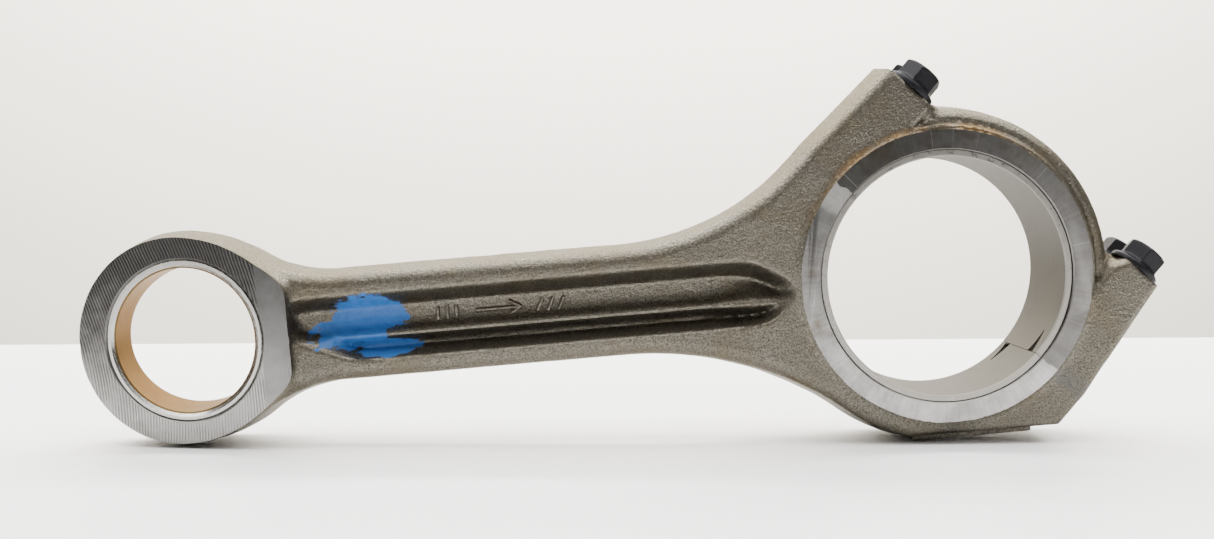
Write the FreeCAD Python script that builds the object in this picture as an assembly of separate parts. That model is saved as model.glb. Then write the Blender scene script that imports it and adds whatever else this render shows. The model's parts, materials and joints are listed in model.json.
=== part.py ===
import FreeCAD, Part
import os
from math import asin, atan2, cos, degrees, radians, sin, sqrt, tan
from FreeCAD import Vector

# Heavy-duty diesel connecting rod with an oblique, fracture-split big end.
# Millimetres. Origin: centre of the crankpin bore, mid-width. +Y runs along both bores,
# +X towards the big end, +Z up. The rod rests on its small end and on the big-end pad, so
# its axis climbs from the small end to the big end by the stance angle.
#
# The pieces are modelled in the rod's own frame, in which the rod axis is X, and every piece
# is turned by the stance angle at the very end. The split frame (t, n) lies in the same
# plane: t runs along the parting line, n points out of it, into the cap.

# ---- driving dimensions ----
CENTRE_DISTANCE = 280.0
SPLIT_ANGLE = 45.0             # from the rod axis to the direction in which the cap lifts

# big end
CRANKPIN_BORE_RADIUS = 44.0
SHELL_LINING = 0.5
SHELL_STEEL = 2.0
SHELL_INSET = 1.1              # shell edge below the thrust face, on each side
BIG_END_WIDTH = 40.0           # over the two machined thrust faces
THRUST_RING_WALL = 7.2         # radial width of a thrust face, from the housing bore
THRUST_RING_RISE = 1.2         # thrust face above the forged side
HOUSING_CHAMFER = 0.9
BIG_END_WALL = 16.8            # housing bore to the forged outline, at mid-width
FORGING_DRAFT = 7.5            # degrees, from mid-width to each side
UNDERSIDE_FLAT = 2.4           # how far the forged underside is flattened
PAD_PROUD = 0.5                # balancing pad below the flattened underside
PAD_LENGTH = 45.0
PAD_OFFSET = 7.5               # pad centre beyond the bore centre
PAD_WIDTH = 22.0
LUG_LENGTH = 7.0               # locating lug of a shell, around the bore
LUG_WIDTH = 4.5
LUG_HEIGHT = 1.2
LUG_OFFSET = 12.0              # lug centre from mid-width

# bolts and their bosses
BOLT_BORE_WALL = 2.0           # between a bolt shank and the housing bore
BOLT_SIDE_WALL = 8.8           # from a bolt axis to the forged side
BOLT_SHANK_RADIUS = 5.5
BOLT_LENGTH = 65.0             # under the head
BOLT_HEX_FLATS = 14.0
BOLT_HEX_HEIGHT = 5.9
BOLT_FLANGE_RADIUS = 9.5
BOLT_FLANGE_RIM = 1.8
BOLT_FLANGE_CONE = 1.8
BOLT_TIP_CHAMFER = 1.0
BOLT_ROLLS = {                 # where tightening left each hex, in degrees
    "bolt_upper_front": 10.0,
    "bolt_upper_rear": 24.0,
    "bolt_lower_front": 15.0,
    "bolt_lower_rear": 33.0,
}
HEX_CHAMFER_ANGLE = 30.0
HEX_CROWN_INSET = 0.3          # flat top of the head inside the flats
UPPER_SEAT_DROP = 19.8         # bolt seat below the crown of the strap
LOWER_SEAT_DROP = 15.3
BOSS_EDGE = 16.9               # bolt row to the outer face of its boss, near the parting line
UPPER_BOSS_UPRIGHT = 5.0       # outer face of the upper boss before it tapers to its seat
UPPER_SEAT_EDGE = 14.1         # the same at the bolt seats
LOWER_SEAT_EDGE = 11.2
SEAT_MARGIN = 1.0              # bolt seat beyond the flange, towards the strap

# small end
PIN_BORE_RADIUS = 26.5
BUSH_LINING = 0.6
BUSH_STEEL = 2.4
BUSH_INSET = 0.3               # bush edge below the tapered side, on each side
SMALL_END_WALL = 10.3          # bush seat to the forged outline, at the tip
SMALL_END_WIDTH = 40.0         # over the flat part beside the shank
SMALL_END_TAPER = 10.2         # each side, in degrees
SMALL_END_OUTSET = 1.4         # the outline is turned about a point this far beyond the bore
FLAT_WALL = 9.5                # bush seat to the end of the machined flat
FLAT_LENGTH = 10.0             # from the fold to the end of the machined flat
SHOULDER_FLATTENING = 14.2     # shoulder radius beyond the small-end radius
SHOULDER_ANGLE = 84.0
SMALL_NECK_RADIUS = 48.0

# shank
SHANK_HEIGHT = 42.2
SHANK_WIDTH = 31.0
WEB_THICKNESS = 11.0
CHANNEL_HEIGHT = 24.0
CHANNEL_START_WALL = 14.5      # bush seat to the channel
CHANNEL_UPPER_WALL = 21.5      # housing bore to the channel's end, at its upper corner
CHANNEL_MIDDLE_WALL = 7.5
CHANNEL_LOWER_WALL = 17.5
CHANNEL_CORNER = 6.0
SPINE_DROP = 4.5               # oil gallery and its spine below the rod axis
SPINE_RADIUS = 4.2
OIL_HOLE_RADIUS = 2.5
UPPER_FLARE_RADIUS = 95.0
LOWER_FLARE_RADIUS = 126.0
SIDE_FLARE_LENGTH = 16.0       # over which the shank widens to the big end
SIDE_STEP_RADIUS = 4.3         # fillet between the machined flat and the shank

# clearances
BOLT_HOLE_CLEARANCE = 0.4      # radial, in the cap
THREAD_CLEARANCE = 0.05        # radial, in the rod
THREAD_RUNOUT = 4.0            # tapped hole beyond the bolt
LUG_CLEARANCE = 0.2
MARGIN = 5.0                   # how far a cutting tool reaches past what it cuts

# ---- what follows from them ----
HOUSING_RADIUS = CRANKPIN_BORE_RADIUS + SHELL_LINING + SHELL_STEEL
BIG_END_RADIUS = HOUSING_RADIUS + BIG_END_WALL
THRUST_RING_RADIUS = HOUSING_RADIUS + THRUST_RING_WALL
FORGED_HALF_WIDTH = BIG_END_WIDTH / 2 - THRUST_RING_RISE
UNDERSIDE = -(BIG_END_RADIUS - UNDERSIDE_FLAT)
PAD_LEVEL = UNDERSIDE - PAD_PROUD
BOLT_ROW = HOUSING_RADIUS + BOLT_BORE_WALL + BOLT_SHANK_RADIUS
BOLT_OFFSET = FORGED_HALF_WIDTH - BOLT_SIDE_WALL
UPPER_SEAT_HEIGHT = BIG_END_RADIUS - UPPER_SEAT_DROP
LOWER_SEAT_HEIGHT = BIG_END_RADIUS - LOWER_SEAT_DROP
BUSH_RADIUS = PIN_BORE_RADIUS + BUSH_LINING + BUSH_STEEL
SMALL_END_RADIUS = BUSH_RADIUS + SMALL_END_WALL
SHOULDER_RADIUS = SMALL_END_RADIUS + SHOULDER_FLATTENING
SMALL_END_OUTLINE = Vector(-CENTRE_DISTANCE - SMALL_END_OUTSET, 0, 0)
HALF_SHANK = SHANK_HEIGHT / 2
FLAT_END_X = -CENTRE_DISTANCE + BUSH_RADIUS + FLAT_WALL
FOLD_X = FLAT_END_X - FLAT_LENGTH
PAD_START_X = PAD_OFFSET - PAD_LENGTH / 2
PIN_CENTRE = Vector(-CENTRE_DISTANCE, 0, 0)
OUTER_REACH = CENTRE_DISTANCE + SMALL_END_OUTSET + SMALL_END_RADIUS + MARGIN
ORIGIN = Vector(0, 0, 0)
BORE_AXIS = Vector(0, 1, 0)
T_AXIS = Vector(sin(radians(SPLIT_ANGLE)), 0, -cos(radians(SPLIT_ANGLE)))
N_AXIS = Vector(cos(radians(SPLIT_ANGLE)), 0, sin(radians(SPLIT_ANGLE)))
# The rod rests on its small end and on the near edge of the pad. The stance is the slope of
# the line that touches both.
REST_POINT = Vector(PAD_START_X, 0, PAD_LEVEL) - SMALL_END_OUTLINE
STANCE = degrees(
    atan2(-REST_POINT.z, REST_POINT.x) - asin(SMALL_END_RADIUS / REST_POINT.Length)
)


# ---- helpers ----
def split_point(t, n, y=0.0):
    return T_AXIS * t + N_AXIS * n + Vector(0, y, 0)


def on_circle(centre, radius, angle):
    return centre + Vector(cos(radians(angle)), 0, sin(radians(angle))) * radius


def arc(start, middle, end):
    return Part.Arc(start, middle, end).toShape()


def line(start, end):
    return Part.LineSegment(start, end).toShape()


def arc_about(centre, radius, start, end):
    """The shorter arc between two points of a circle."""
    towards = (start + end) * 0.5 - centre
    towards.normalize()
    return arc(start, centre + towards * radius, end)


def polygon(points):
    return Part.Face(Part.Wire([line(a, b) for a, b in zip(points, points[1:] + points[:1])]))


def polygon_prism(points, half_width):
    """A polygon in the XZ plane, thickened both ways along the bore."""
    face = polygon(points)
    face.translate(Vector(0, -half_width, 0))
    return face.extrude(Vector(0, 2 * half_width, 0))


def cylinder_y(radius, half_width, centre=ORIGIN):
    base = centre - Vector(0, half_width, 0)
    return Part.makeCylinder(radius, 2 * half_width, base, BORE_AXIS)


def tube_y(outer, inner, half_width, centre=ORIGIN):
    return cylinder_y(outer, half_width, centre).cut(cylinder_y(inner, half_width, centre))


def bore_chamfer(radius, size, half_width, side):
    """A cone that takes the chamfer off the mouth of the housing bore."""
    face = Vector(0, side * half_width, 0)
    return Part.makeCone(radius + size, radius, size, face, Vector(0, -side, 0))


def half_space(side):
    """Everything on the cap side (side = 1) or the rod side (side = -1) of the parting line."""
    t, n = OUTER_REACH, side * OUTER_REACH
    corners = [split_point(-t, 0), split_point(t, 0), split_point(t, n), split_point(-t, n)]
    return polygon_prism(corners, BIG_END_WIDTH)


# ---- outline of the whole forging, seen along the bores ----
# Every function takes an inset: the draft makes the outline that much smaller all round.
def upper_flare(inset):
    """Arc from the top of the shank to the outer face of the upper boss: centre and ends."""
    centre_t = -(BOLT_ROW + BOSS_EDGE + UPPER_FLARE_RADIUS)
    centre_z = HALF_SHANK + UPPER_FLARE_RADIUS
    centre_x = (centre_t + centre_z * cos(radians(SPLIT_ANGLE))) / sin(radians(SPLIT_ANGLE))
    centre = Vector(centre_x, 0, centre_z)
    radius = UPPER_FLARE_RADIUS + inset
    return centre, radius, centre - Vector(0, 0, radius), centre + T_AXIS * radius


def lower_flare(inset):
    """Arc from the underside of the shank to the round of the big end: centre and ends."""
    centre_z = -(HALF_SHANK + LOWER_FLARE_RADIUS)
    reach = BIG_END_RADIUS + LOWER_FLARE_RADIUS
    centre = Vector(-sqrt(reach**2 - centre_z**2), 0, centre_z)
    radius = LOWER_FLARE_RADIUS + inset
    on_round = centre * ((BIG_END_RADIUS - inset) / reach)
    return centre, radius, centre + Vector(0, 0, radius), on_round


def small_end_side(side, inset):
    """Shoulder and neck on one side of the small end, as two arcs from tip to shank."""
    outward = on_circle(ORIGIN, 1, SHOULDER_ANGLE)
    shoulder = SMALL_END_OUTLINE - outward * (SHOULDER_RADIUS - SMALL_END_RADIUS)
    joint = SMALL_END_OUTLINE + outward * (SMALL_END_RADIUS - inset)
    neck_z = HALF_SHANK + SMALL_NECK_RADIUS
    reach = SHOULDER_RADIUS + SMALL_NECK_RADIUS
    neck = Vector(shoulder.x + sqrt(reach**2 - (neck_z - shoulder.z)**2), 0, neck_z)
    bend = shoulder + (neck - shoulder) * ((SHOULDER_RADIUS - inset) / reach)
    foot = Vector(neck.x, 0, HALF_SHANK - inset)
    joint, shoulder, bend, neck, foot = [
        Vector(p.x, 0, side * p.z) for p in (joint, shoulder, bend, neck, foot)
    ]
    arcs = [
        arc_about(shoulder, SHOULDER_RADIUS - inset, joint, bend),
        arc_about(neck, SMALL_NECK_RADIUS + inset, bend, foot),
    ]
    return joint, arcs, foot


def boss_points(side, height, seat_edge, taper_start, inset):
    """Foot of a seat on the strap, outer corner of the seat, start of the boss's taper."""
    radius = BIG_END_RADIUS - inset
    neck = split_point(side * sqrt(radius**2 - height**2), height)
    corner = split_point(side * (BOLT_ROW + seat_edge - inset), height)
    edge = split_point(side * (BOLT_ROW + BOSS_EDGE - inset), taper_start)
    return neck, corner, edge


def forging_outline(inset):
    upper, upper_radius, upper_start, upper_end = upper_flare(inset)
    lower, lower_radius, lower_start, lower_end = lower_flare(inset)
    taper_start = upper_end.dot(N_AXIS) + UPPER_BOSS_UPRIGHT
    upper_neck, upper_seat, upper_edge = boss_points(
        -1, UPPER_SEAT_HEIGHT, UPPER_SEAT_EDGE, taper_start, inset
    )
    lower_neck, lower_seat, lower_edge = boss_points(
        1, LOWER_SEAT_HEIGHT, LOWER_SEAT_EDGE, 0, inset
    )
    radius, level = BIG_END_RADIUS - inset, UNDERSIDE + inset
    flat_start = Vector(-sqrt(radius**2 - level**2), 0, level)
    boss_t = BOLT_ROW + BOSS_EDGE - inset
    flat_end_x = (boss_t + level * cos(radians(SPLIT_ANGLE))) / sin(radians(SPLIT_ANGLE))
    flat_end = Vector(flat_end_x, 0, level)
    top_joint, top_arcs, top_foot = small_end_side(1, inset)
    low_joint, low_arcs, low_foot = small_end_side(-1, inset)
    tip = SMALL_END_OUTLINE - Vector(SMALL_END_RADIUS - inset, 0, 0)
    return [
        arc(low_joint, tip, top_joint),
        *top_arcs,
        line(top_foot, upper_start),
        arc_about(upper, upper_radius, upper_start, upper_end),
        line(upper_end, upper_edge),
        line(upper_edge, upper_seat),
        line(upper_seat, upper_neck),
        arc(upper_neck, N_AXIS * radius, lower_neck),
        line(lower_neck, lower_seat),
        line(lower_seat, lower_edge),
        line(lower_edge, flat_end),
        line(flat_end, flat_start),
        arc_about(ORIGIN, radius, flat_start, lower_end),
        arc_about(lower, lower_radius, lower_end, lower_start),
        line(lower_start, low_foot),
        *reversed(low_arcs),
    ]


def drafted_blank():
    """The outline at mid-width, falling back by the draft to each side."""
    half = SMALL_END_WIDTH / 2
    middle = Part.Wire(forging_outline(0.0))
    halves = []
    for side in (-1, 1):
        outer = Part.Wire(forging_outline(half * tan(radians(FORGING_DRAFT))))
        outer.translate(Vector(0, side * half, 0))
        halves.append(Part.makeLoft([middle, outer], True, True))
    return halves[0].fuse(halves[1])


def small_end_half_width(x, inset=0.0):
    """Half the width of the tapered small end, at a place along the rod."""
    return SMALL_END_WIDTH / 2 - inset - max(FOLD_X - x, 0) * tan(radians(SMALL_END_TAPER))


def plan_prism():
    """The widths along the rod: taper, flat, step to the shank, flare to the big end."""
    flat, shank = SMALL_END_WIDTH / 2, SHANK_WIDTH / 2
    tip_x = SMALL_END_OUTLINE.x - SMALL_END_RADIUS - MARGIN
    radius = min(SIDE_STEP_RADIUS, 0.9 * (flat - shank))
    bend = radius * (1 - cos(radians(45)))
    flare_start = -BIG_END_RADIUS - SIDE_FLARE_LENGTH
    sides = []
    for side in (-1, 1):
        points = [
            Vector(tip_x, side * small_end_half_width(tip_x), 0),
            Vector(FOLD_X, side * flat, 0),
            Vector(FLAT_END_X, side * flat, 0),
            Vector(FLAT_END_X, side * (shank + radius), 0),
            Vector(FLAT_END_X + bend, side * (shank + bend), 0),
            Vector(FLAT_END_X + radius, side * shank, 0),
            Vector(flare_start, side * shank, 0),
            Vector(-BIG_END_RADIUS, side * FORGED_HALF_WIDTH, 0),
            Vector(OUTER_REACH, side * FORGED_HALF_WIDTH, 0),
        ]
        sides += [line(a, b) for a, b in zip(points[:3], points[1:4])]
        sides.append(arc(*points[3:6]))
        sides += [line(a, b) for a, b in zip(points[5:8], points[6:9])]
        ends = (points[0], points[-1]) if side < 0 else ends + (points[0], points[-1])
    sides += [line(ends[0], ends[2]), line(ends[1], ends[3])]
    face = Part.Face(Part.Wire(Part.__sortEdges__(sides)))
    face.translate(Vector(0, 0, -OUTER_REACH))
    return face.extrude(Vector(0, 0, 2 * OUTER_REACH))


# ---- the forging, before it is split ----
def channel(side):
    """The pocket in one side of the shank, between its two flanges."""
    half = CHANNEL_HEIGHT / 2
    start = -CENTRE_DISTANCE + BUSH_RADIUS + CHANNEL_START_WALL
    end = -HOUSING_RADIUS
    corner = CHANNEL_CORNER
    outline = [
        Vector(start + corner, 0, -half),
        Vector(start, 0, -half + corner),
        Vector(start, 0, half - corner),
        Vector(start + corner, 0, half),
        Vector(end - CHANNEL_UPPER_WALL, 0, half),
        Vector(end - CHANNEL_MIDDLE_WALL, 0, 0),
        Vector(end - CHANNEL_MIDDLE_WALL, 0, -SPINE_DROP),
        Vector(end - CHANNEL_LOWER_WALL, 0, -half),
    ]
    depth = (SHANK_WIDTH - WEB_THICKNESS) / 4 + MARGIN
    pocket = polygon_prism(outline, depth)
    pocket.translate(Vector(0, side * (WEB_THICKNESS / 2 + depth), 0))
    return pocket


def spine():
    """The rounded rib on both sides of the web that the oil gallery runs in."""
    start = Vector(FLAT_END_X, 0, -SPINE_DROP)
    length = CENTRE_DISTANCE - BUSH_RADIUS - FLAT_WALL - HOUSING_RADIUS
    ribs = []
    for side in (-1, 1):
        base = start + Vector(0, side * WEB_THICKNESS / 2, 0)
        ribs.append(Part.makeCylinder(SPINE_RADIUS, length, base, Vector(1, 0, 0)))
    return ribs


def balancing_pad():
    """The pad under the big end that weight is ground off, and that the rod rests on."""
    depth = PAD_PROUD + BIG_END_WALL / 2
    corner = Vector(PAD_START_X, -PAD_WIDTH / 2, PAD_LEVEL)
    return Part.makeBox(PAD_LENGTH, PAD_WIDTH, depth, corner)


def oil_gallery():
    """One straight drilling from the crankpin bore to the pin bore."""
    start = Vector(-CENTRE_DISTANCE, 0, -SPINE_DROP)
    return Part.makeCylinder(OIL_HOLE_RADIUS, CENTRE_DISTANCE, start, Vector(1, 0, 0))


def bolt_places():
    """(name, row side, seat height, offset along the bore) of each bolt."""
    rows = (("upper", -1, UPPER_SEAT_HEIGHT), ("lower", 1, LOWER_SEAT_HEIGHT))
    ends = (("front", -1), ("rear", 1))
    return [
        (f"bolt_{row}_{end}", side, height, along * BOLT_OFFSET)
        for row, side, height in rows
        for end, along in ends
    ]


def seat_clearance(side, height):
    """Cutter that keeps the strap clear of the bolt heads, over the full width."""
    inner = side * (BOLT_ROW - BOLT_FLANGE_RADIUS - SEAT_MARGIN)
    outer, top = side * OUTER_REACH, height + OUTER_REACH
    corners = [(inner, height), (outer, height), (outer, top), (inner, top)]
    return polygon_prism([split_point(*corner) for corner in corners], BIG_END_WIDTH)


def bolt_hole(side, height, y, radius, depth):
    mouth = split_point(side * BOLT_ROW, height + MARGIN, y)
    return Part.makeCylinder(radius, depth + MARGIN, mouth, -N_AXIS)


def lug(cap_side, grow=0.0):
    """Locating lug of a shell: it stands on the lower parting face, proud of the shell's back."""
    half = LUG_WIDTH / 2 + grow
    inner = HOUSING_RADIUS - SHELL_STEEL / 2
    outer = HOUSING_RADIUS + LUG_HEIGHT + grow
    end = cap_side * (LUG_LENGTH + grow)
    corners = [
        split_point(inner, 0),
        split_point(outer, 0),
        split_point(outer, end),
        split_point(inner, end),
    ]
    block = polygon_prism(corners, half)
    block.translate(Vector(0, -cap_side * LUG_OFFSET, 0))
    return block


def forging():
    blank = drafted_blank().common(plan_prism())
    blank = blank.cut(Part.makeCompound([channel(1), channel(-1)]))
    half = BIG_END_WIDTH / 2
    blank = blank.fuse(spine() + [balancing_pad(), cylinder_y(THRUST_RING_RADIUS, half)])
    tools = [
        cylinder_y(HOUSING_RADIUS, BIG_END_WIDTH),
        cylinder_y(BUSH_RADIUS, SMALL_END_WIDTH, PIN_CENTRE),
        oil_gallery(),
    ]
    tools += [bore_chamfer(HOUSING_RADIUS, HOUSING_CHAMFER, half, side) for side in (-1, 1)]
    for tool in tools:
        blank = blank.cut(tool)
    return blank.removeSplitter()


def rod_body(blank):
    rod = blank.common(half_space(-1))
    for _, side, height, y in bolt_places():
        depth = BOLT_LENGTH + THREAD_RUNOUT
        rod = rod.cut(bolt_hole(side, height, y, BOLT_SHANK_RADIUS + THREAD_CLEARANCE, depth))
    return rod.cut(lug(-1, LUG_CLEARANCE))


def bearing_cap(blank):
    cap = blank.common(half_space(1))
    cap = cap.cut([seat_clearance(-1, UPPER_SEAT_HEIGHT), seat_clearance(1, LOWER_SEAT_HEIGHT)])
    for _, side, height, y in bolt_places():
        cap = cap.cut(bolt_hole(side, height, y, BOLT_SHANK_RADIUS + BOLT_HOLE_CLEARANCE, 2 * height))
    return cap.cut(lug(1, LUG_CLEARANCE))


# ---- bearings ----
def shell_half(outer, inner, cap_side):
    ring = tube_y(outer, inner, BIG_END_WIDTH / 2 - SHELL_INSET)
    half = ring.common(half_space(cap_side))
    return half.cut(oil_gallery()) if cap_side < 0 else half


def shell_back(cap_side):
    """Steel back of a half shell, with its lug; the lining covers the inside."""
    inner = CRANKPIN_BORE_RADIUS + SHELL_LINING
    back = shell_half(HOUSING_RADIUS, inner, cap_side)
    return back.fuse(lug(cap_side).cut(cylinder_y(inner, BIG_END_WIDTH)))


def shell_lining(cap_side):
    return shell_half(CRANKPIN_BORE_RADIUS + SHELL_LINING, CRANKPIN_BORE_RADIUS, cap_side)


def bush_layer(outer, inner):
    """A layer of the pin bush, its sides tapered with the small end."""
    low, high = PIN_CENTRE.x - outer - MARGIN, PIN_CENTRE.x + outer + MARGIN
    flat = small_end_half_width(high, BUSH_INSET)
    plan = [
        Vector(low, small_end_half_width(low, BUSH_INSET), 0),
        Vector(FOLD_X, flat, 0),
        Vector(high, flat, 0),
    ]
    plan += [Vector(p.x, -p.y, 0) for p in reversed(plan)]
    face = polygon(plan)
    face.translate(Vector(0, 0, -OUTER_REACH))
    sides = face.extrude(Vector(0, 0, 2 * OUTER_REACH))
    ring = tube_y(outer, inner, SMALL_END_WIDTH, PIN_CENTRE)
    return ring.common(sides).cut(oil_gallery())


# ---- bolts ----
def bolt():
    """A hex-flange bolt standing on its seat at the origin, head up."""
    corner = BOLT_HEX_FLATS / 2 / cos(radians(30))
    rim_top = BOLT_FLANGE_RIM + BOLT_FLANGE_CONE
    top = rim_top + BOLT_HEX_HEIGHT
    ring = [Vector(corner * cos(radians(60 * i)), corner * sin(radians(60 * i)), 0) for i in range(6)]
    hex_prism = polygon(ring).extrude(Vector(0, 0, top))
    fall = tan(radians(HEX_CHAMFER_ANGLE))
    crown_radius = BOLT_HEX_FLATS / 2 - HEX_CROWN_INSET
    head = hex_prism.common(Part.makeCone(crown_radius + top / fall, crown_radius, top))
    rim = Part.makeCylinder(BOLT_FLANGE_RADIUS, BOLT_FLANGE_RIM)
    cone = Part.makeCone(BOLT_FLANGE_RADIUS, corner, BOLT_FLANGE_CONE, Vector(0, 0, BOLT_FLANGE_RIM))
    shank_length = BOLT_LENGTH - BOLT_TIP_CHAMFER
    shank = Part.makeCylinder(BOLT_SHANK_RADIUS, shank_length, ORIGIN, Vector(0, 0, -1))
    tip = Part.makeCone(
        BOLT_SHANK_RADIUS,
        BOLT_SHANK_RADIUS - BOLT_TIP_CHAMFER,
        BOLT_TIP_CHAMFER,
        Vector(0, 0, -shank_length),
        Vector(0, 0, -1),
    )
    return head.fuse([rim, cone, shank, tip]).removeSplitter()


def placed_bolt(side, height, y, roll):
    piece = bolt()
    piece.rotate(ORIGIN, Vector(0, 0, 1), roll)
    piece.rotate(ORIGIN, BORE_AXIS, 90 - SPLIT_ANGLE)
    piece.translate(split_point(side * BOLT_ROW, height, y))
    return piece


# ---- build ----
def main():
    blank = forging()
    pieces = {
        "rod_body": rod_body(blank),
        "bearing_cap": bearing_cap(blank),
        "rod_shell_back": shell_back(-1),
        "rod_shell_lining": shell_lining(-1),
        "cap_shell_back": shell_back(1),
        "cap_shell_lining": shell_lining(1),
        "bush_back": bush_layer(BUSH_RADIUS, PIN_BORE_RADIUS + BUSH_LINING),
        "bush_lining": bush_layer(PIN_BORE_RADIUS + BUSH_LINING, PIN_BORE_RADIUS),
    }
    for name, side, height, y in bolt_places():
        pieces[name] = placed_bolt(side, height, y, BOLT_ROLLS[name])
    os.makedirs("parts", exist_ok=True)
    for name, shape in pieces.items():
        if len(shape.Solids) != 1 or not shape.isValid():
            raise ValueError(f"{name}: {len(shape.Solids)} solids, valid {shape.isValid()}")
        solid = shape.Solids[0]
        solid.rotate(ORIGIN, BORE_AXIS, -STANCE)
        solid.exportStep(f"parts/{name}.step")
        print(f"{name}: {solid.Volume / 1000:.1f} cm3")
    print(f"stance {STANCE:.2f} degrees")


main()
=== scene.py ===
import json
from math import atan2, cos, hypot, pi, radians, sin, sqrt, tan

import bpy
import numpy as np
from mathutils import Matrix, Vector


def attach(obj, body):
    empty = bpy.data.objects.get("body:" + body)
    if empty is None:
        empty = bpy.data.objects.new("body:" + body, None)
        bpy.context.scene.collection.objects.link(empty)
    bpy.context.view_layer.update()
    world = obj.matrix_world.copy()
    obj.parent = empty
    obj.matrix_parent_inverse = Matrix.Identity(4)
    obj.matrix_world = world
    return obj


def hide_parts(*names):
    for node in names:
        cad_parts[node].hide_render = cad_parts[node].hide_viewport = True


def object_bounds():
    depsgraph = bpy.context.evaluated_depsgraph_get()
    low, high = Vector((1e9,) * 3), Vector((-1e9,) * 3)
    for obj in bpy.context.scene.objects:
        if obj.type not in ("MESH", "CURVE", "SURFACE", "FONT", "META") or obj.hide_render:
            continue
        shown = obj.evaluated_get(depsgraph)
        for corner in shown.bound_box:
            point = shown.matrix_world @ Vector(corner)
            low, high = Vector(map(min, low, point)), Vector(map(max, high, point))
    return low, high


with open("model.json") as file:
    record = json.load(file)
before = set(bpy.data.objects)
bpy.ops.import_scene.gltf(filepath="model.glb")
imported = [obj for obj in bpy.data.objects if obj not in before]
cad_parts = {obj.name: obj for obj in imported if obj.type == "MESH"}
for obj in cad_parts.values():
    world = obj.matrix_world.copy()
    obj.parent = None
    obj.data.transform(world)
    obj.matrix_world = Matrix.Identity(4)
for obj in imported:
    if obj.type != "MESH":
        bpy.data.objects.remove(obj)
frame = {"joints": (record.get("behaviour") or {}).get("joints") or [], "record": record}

cad_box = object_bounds()

# A forged, fracture-split diesel connecting rod. Pieces are shaped in millimetres in the rod's
# own frame, with the rod axis along X, the bores along Y and the crankpin bore at the origin,
# and are turned by the stance into the row frame, in metres, at the very end.
# In the plane across the bores a place is also a complex number, x + z*1j.

# ---- sizes that the frame gives ----
MM = 0.001
MOUNTS = {mount["name"]: mount for mount in frame["record"]["mounts"]}
PIN_PLACE = MOUNTS["pin_bore"]["pos_m"]
CENTRE_DISTANCE = hypot(PIN_PLACE[0], PIN_PLACE[2]) / MM
STANCE = atan2(-PIN_PLACE[2], -PIN_PLACE[0])
CRANKPIN_BORE = MOUNTS["crankpin_bore"]["dims"]["r_mm"]
PIN_BORE = MOUNTS["pin_bore"]["dims"]["r_mm"]
SHELL_HALF_WIDTH = MOUNTS["crankpin_bore"]["dims"]["length_mm"] / 2
HALF_WIDTH = abs(MOUNTS["front_thrust_face"]["pos_m"][1]) / MM
LIFT = next(joint["axis"] for joint in frame["joints"] if joint["name"] == "cap_lift")
SPLIT = atan2(LIFT[2], LIFT[0]) - STANCE
LIFT_WAY = np.exp(1j * SPLIT)              # out of the parting line, into the cap
SEAM_WAY = LIFT_WAY * -1j                  # along the parting line, towards its lower end

# ---- walls and details, in millimetres ----
SHELL_LINING = 0.5
SHELL_STEEL = 2.0
HOUSING = CRANKPIN_BORE + SHELL_LINING + SHELL_STEEL
BUSH_LINING = 0.6
BUSH_STEEL = 2.4
BUSH_SEAT = PIN_BORE + BUSH_LINING + BUSH_STEEL
BUSH_INSET = 0.3
BIG_END = HOUSING + 16.8                   # forged round of the big end
THRUST_RING = HOUSING + 7.2
FORGED_HALF = HALF_WIDTH - 1.2
RING_FILLET = 3.3
UNDERSIDE = -(BIG_END - 2.4)
PAD_LEVEL = UNDERSIDE - 0.5
PAD_X = (-15.0, 30.0)
PAD_HALF = 11.0
SMALL_END = BUSH_SEAT + 10.3
SMALL_CENTRE = -CENTRE_DISTANCE - 1.4
SHOULDER = SMALL_END + 14.2
SHOULDER_TURN = radians(84)
NECK = 48.0
FLAT_END = -CENTRE_DISTANCE + BUSH_SEAT + 9.5
FOLD = FLAT_END - 10.0
TAPER = tan(radians(10.2))
FLAT_CORNER = 8.0
STEP_FILLET = 4.3
HALF_SHANK = 21.1
SHANK_HALF_WIDTH = 15.5
WEB_HALF = 5.5
DRAFT = radians(7.5)
UPPER_FLARE = 95.0
LOWER_FLARE = 126.0
BOLT_ROW = HOUSING + 7.5
BOLT_OFFSET = FORGED_HALF - 8.8
BOSS = BOLT_ROW + 16.9
UPPER_SEAT = BIG_END - 19.8
LOWER_SEAT = BIG_END - 15.3
SEAT_STOCK = 3.6                            # forged on top of each seat, then machined away
UPPER_CORNER = BOLT_ROW + 14.1
LOWER_CORNER = BOLT_ROW + 11.2
SEAT_EDGE = BOLT_ROW - 10.5
BOLT_RADIUS = 5.5
ROD_HOLE = BOLT_RADIUS + 0.05
CAP_HOLE = BOLT_RADIUS + 0.4
BOLT_LENGTH = 65.0
HEX_HALF = 7.0
HEAD_TOP = 9.5
CROWN_SLOPE = radians(30)
DISH_DEPTH = 0.35
FLANGE = 9.5
FLANGE_TOP = 1.9
FLANGE_SLOPE = radians(28)
BOLT_SHANK = 5.4
BOLT_WAIST = 4.8
BOLT_TIP = 3.9
THREAD_CORE = 4.72
THREAD_PITCH = 1.5
THREAD_LENGTH = 29.0
LUG_PLACE = 12.0                            # of a shell's locating lug, from mid-width
LUG_HALF = 2.25
LUG_LENGTH = 7.0
LUG_RISE = 1.2
OIL_RADIUS = 2.5
SPINE_Z = -4.5
SKIN_PITCH = 0.9
ARC_STEP = 2.0
ROUND = 180                                # facets round a bore


# ---- small helpers ----
def ramp(value, low, high):
    """0 below low, 1 above high, smooth between."""
    share = np.clip((value - low) / (high - low), 0.0, 1.0)
    return share * share * (3 - 2 * share)


def at_split(t, n):
    """The place t along the parting line and n out of it."""
    return SEAM_WAY * t + LIFT_WAY * n


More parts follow.
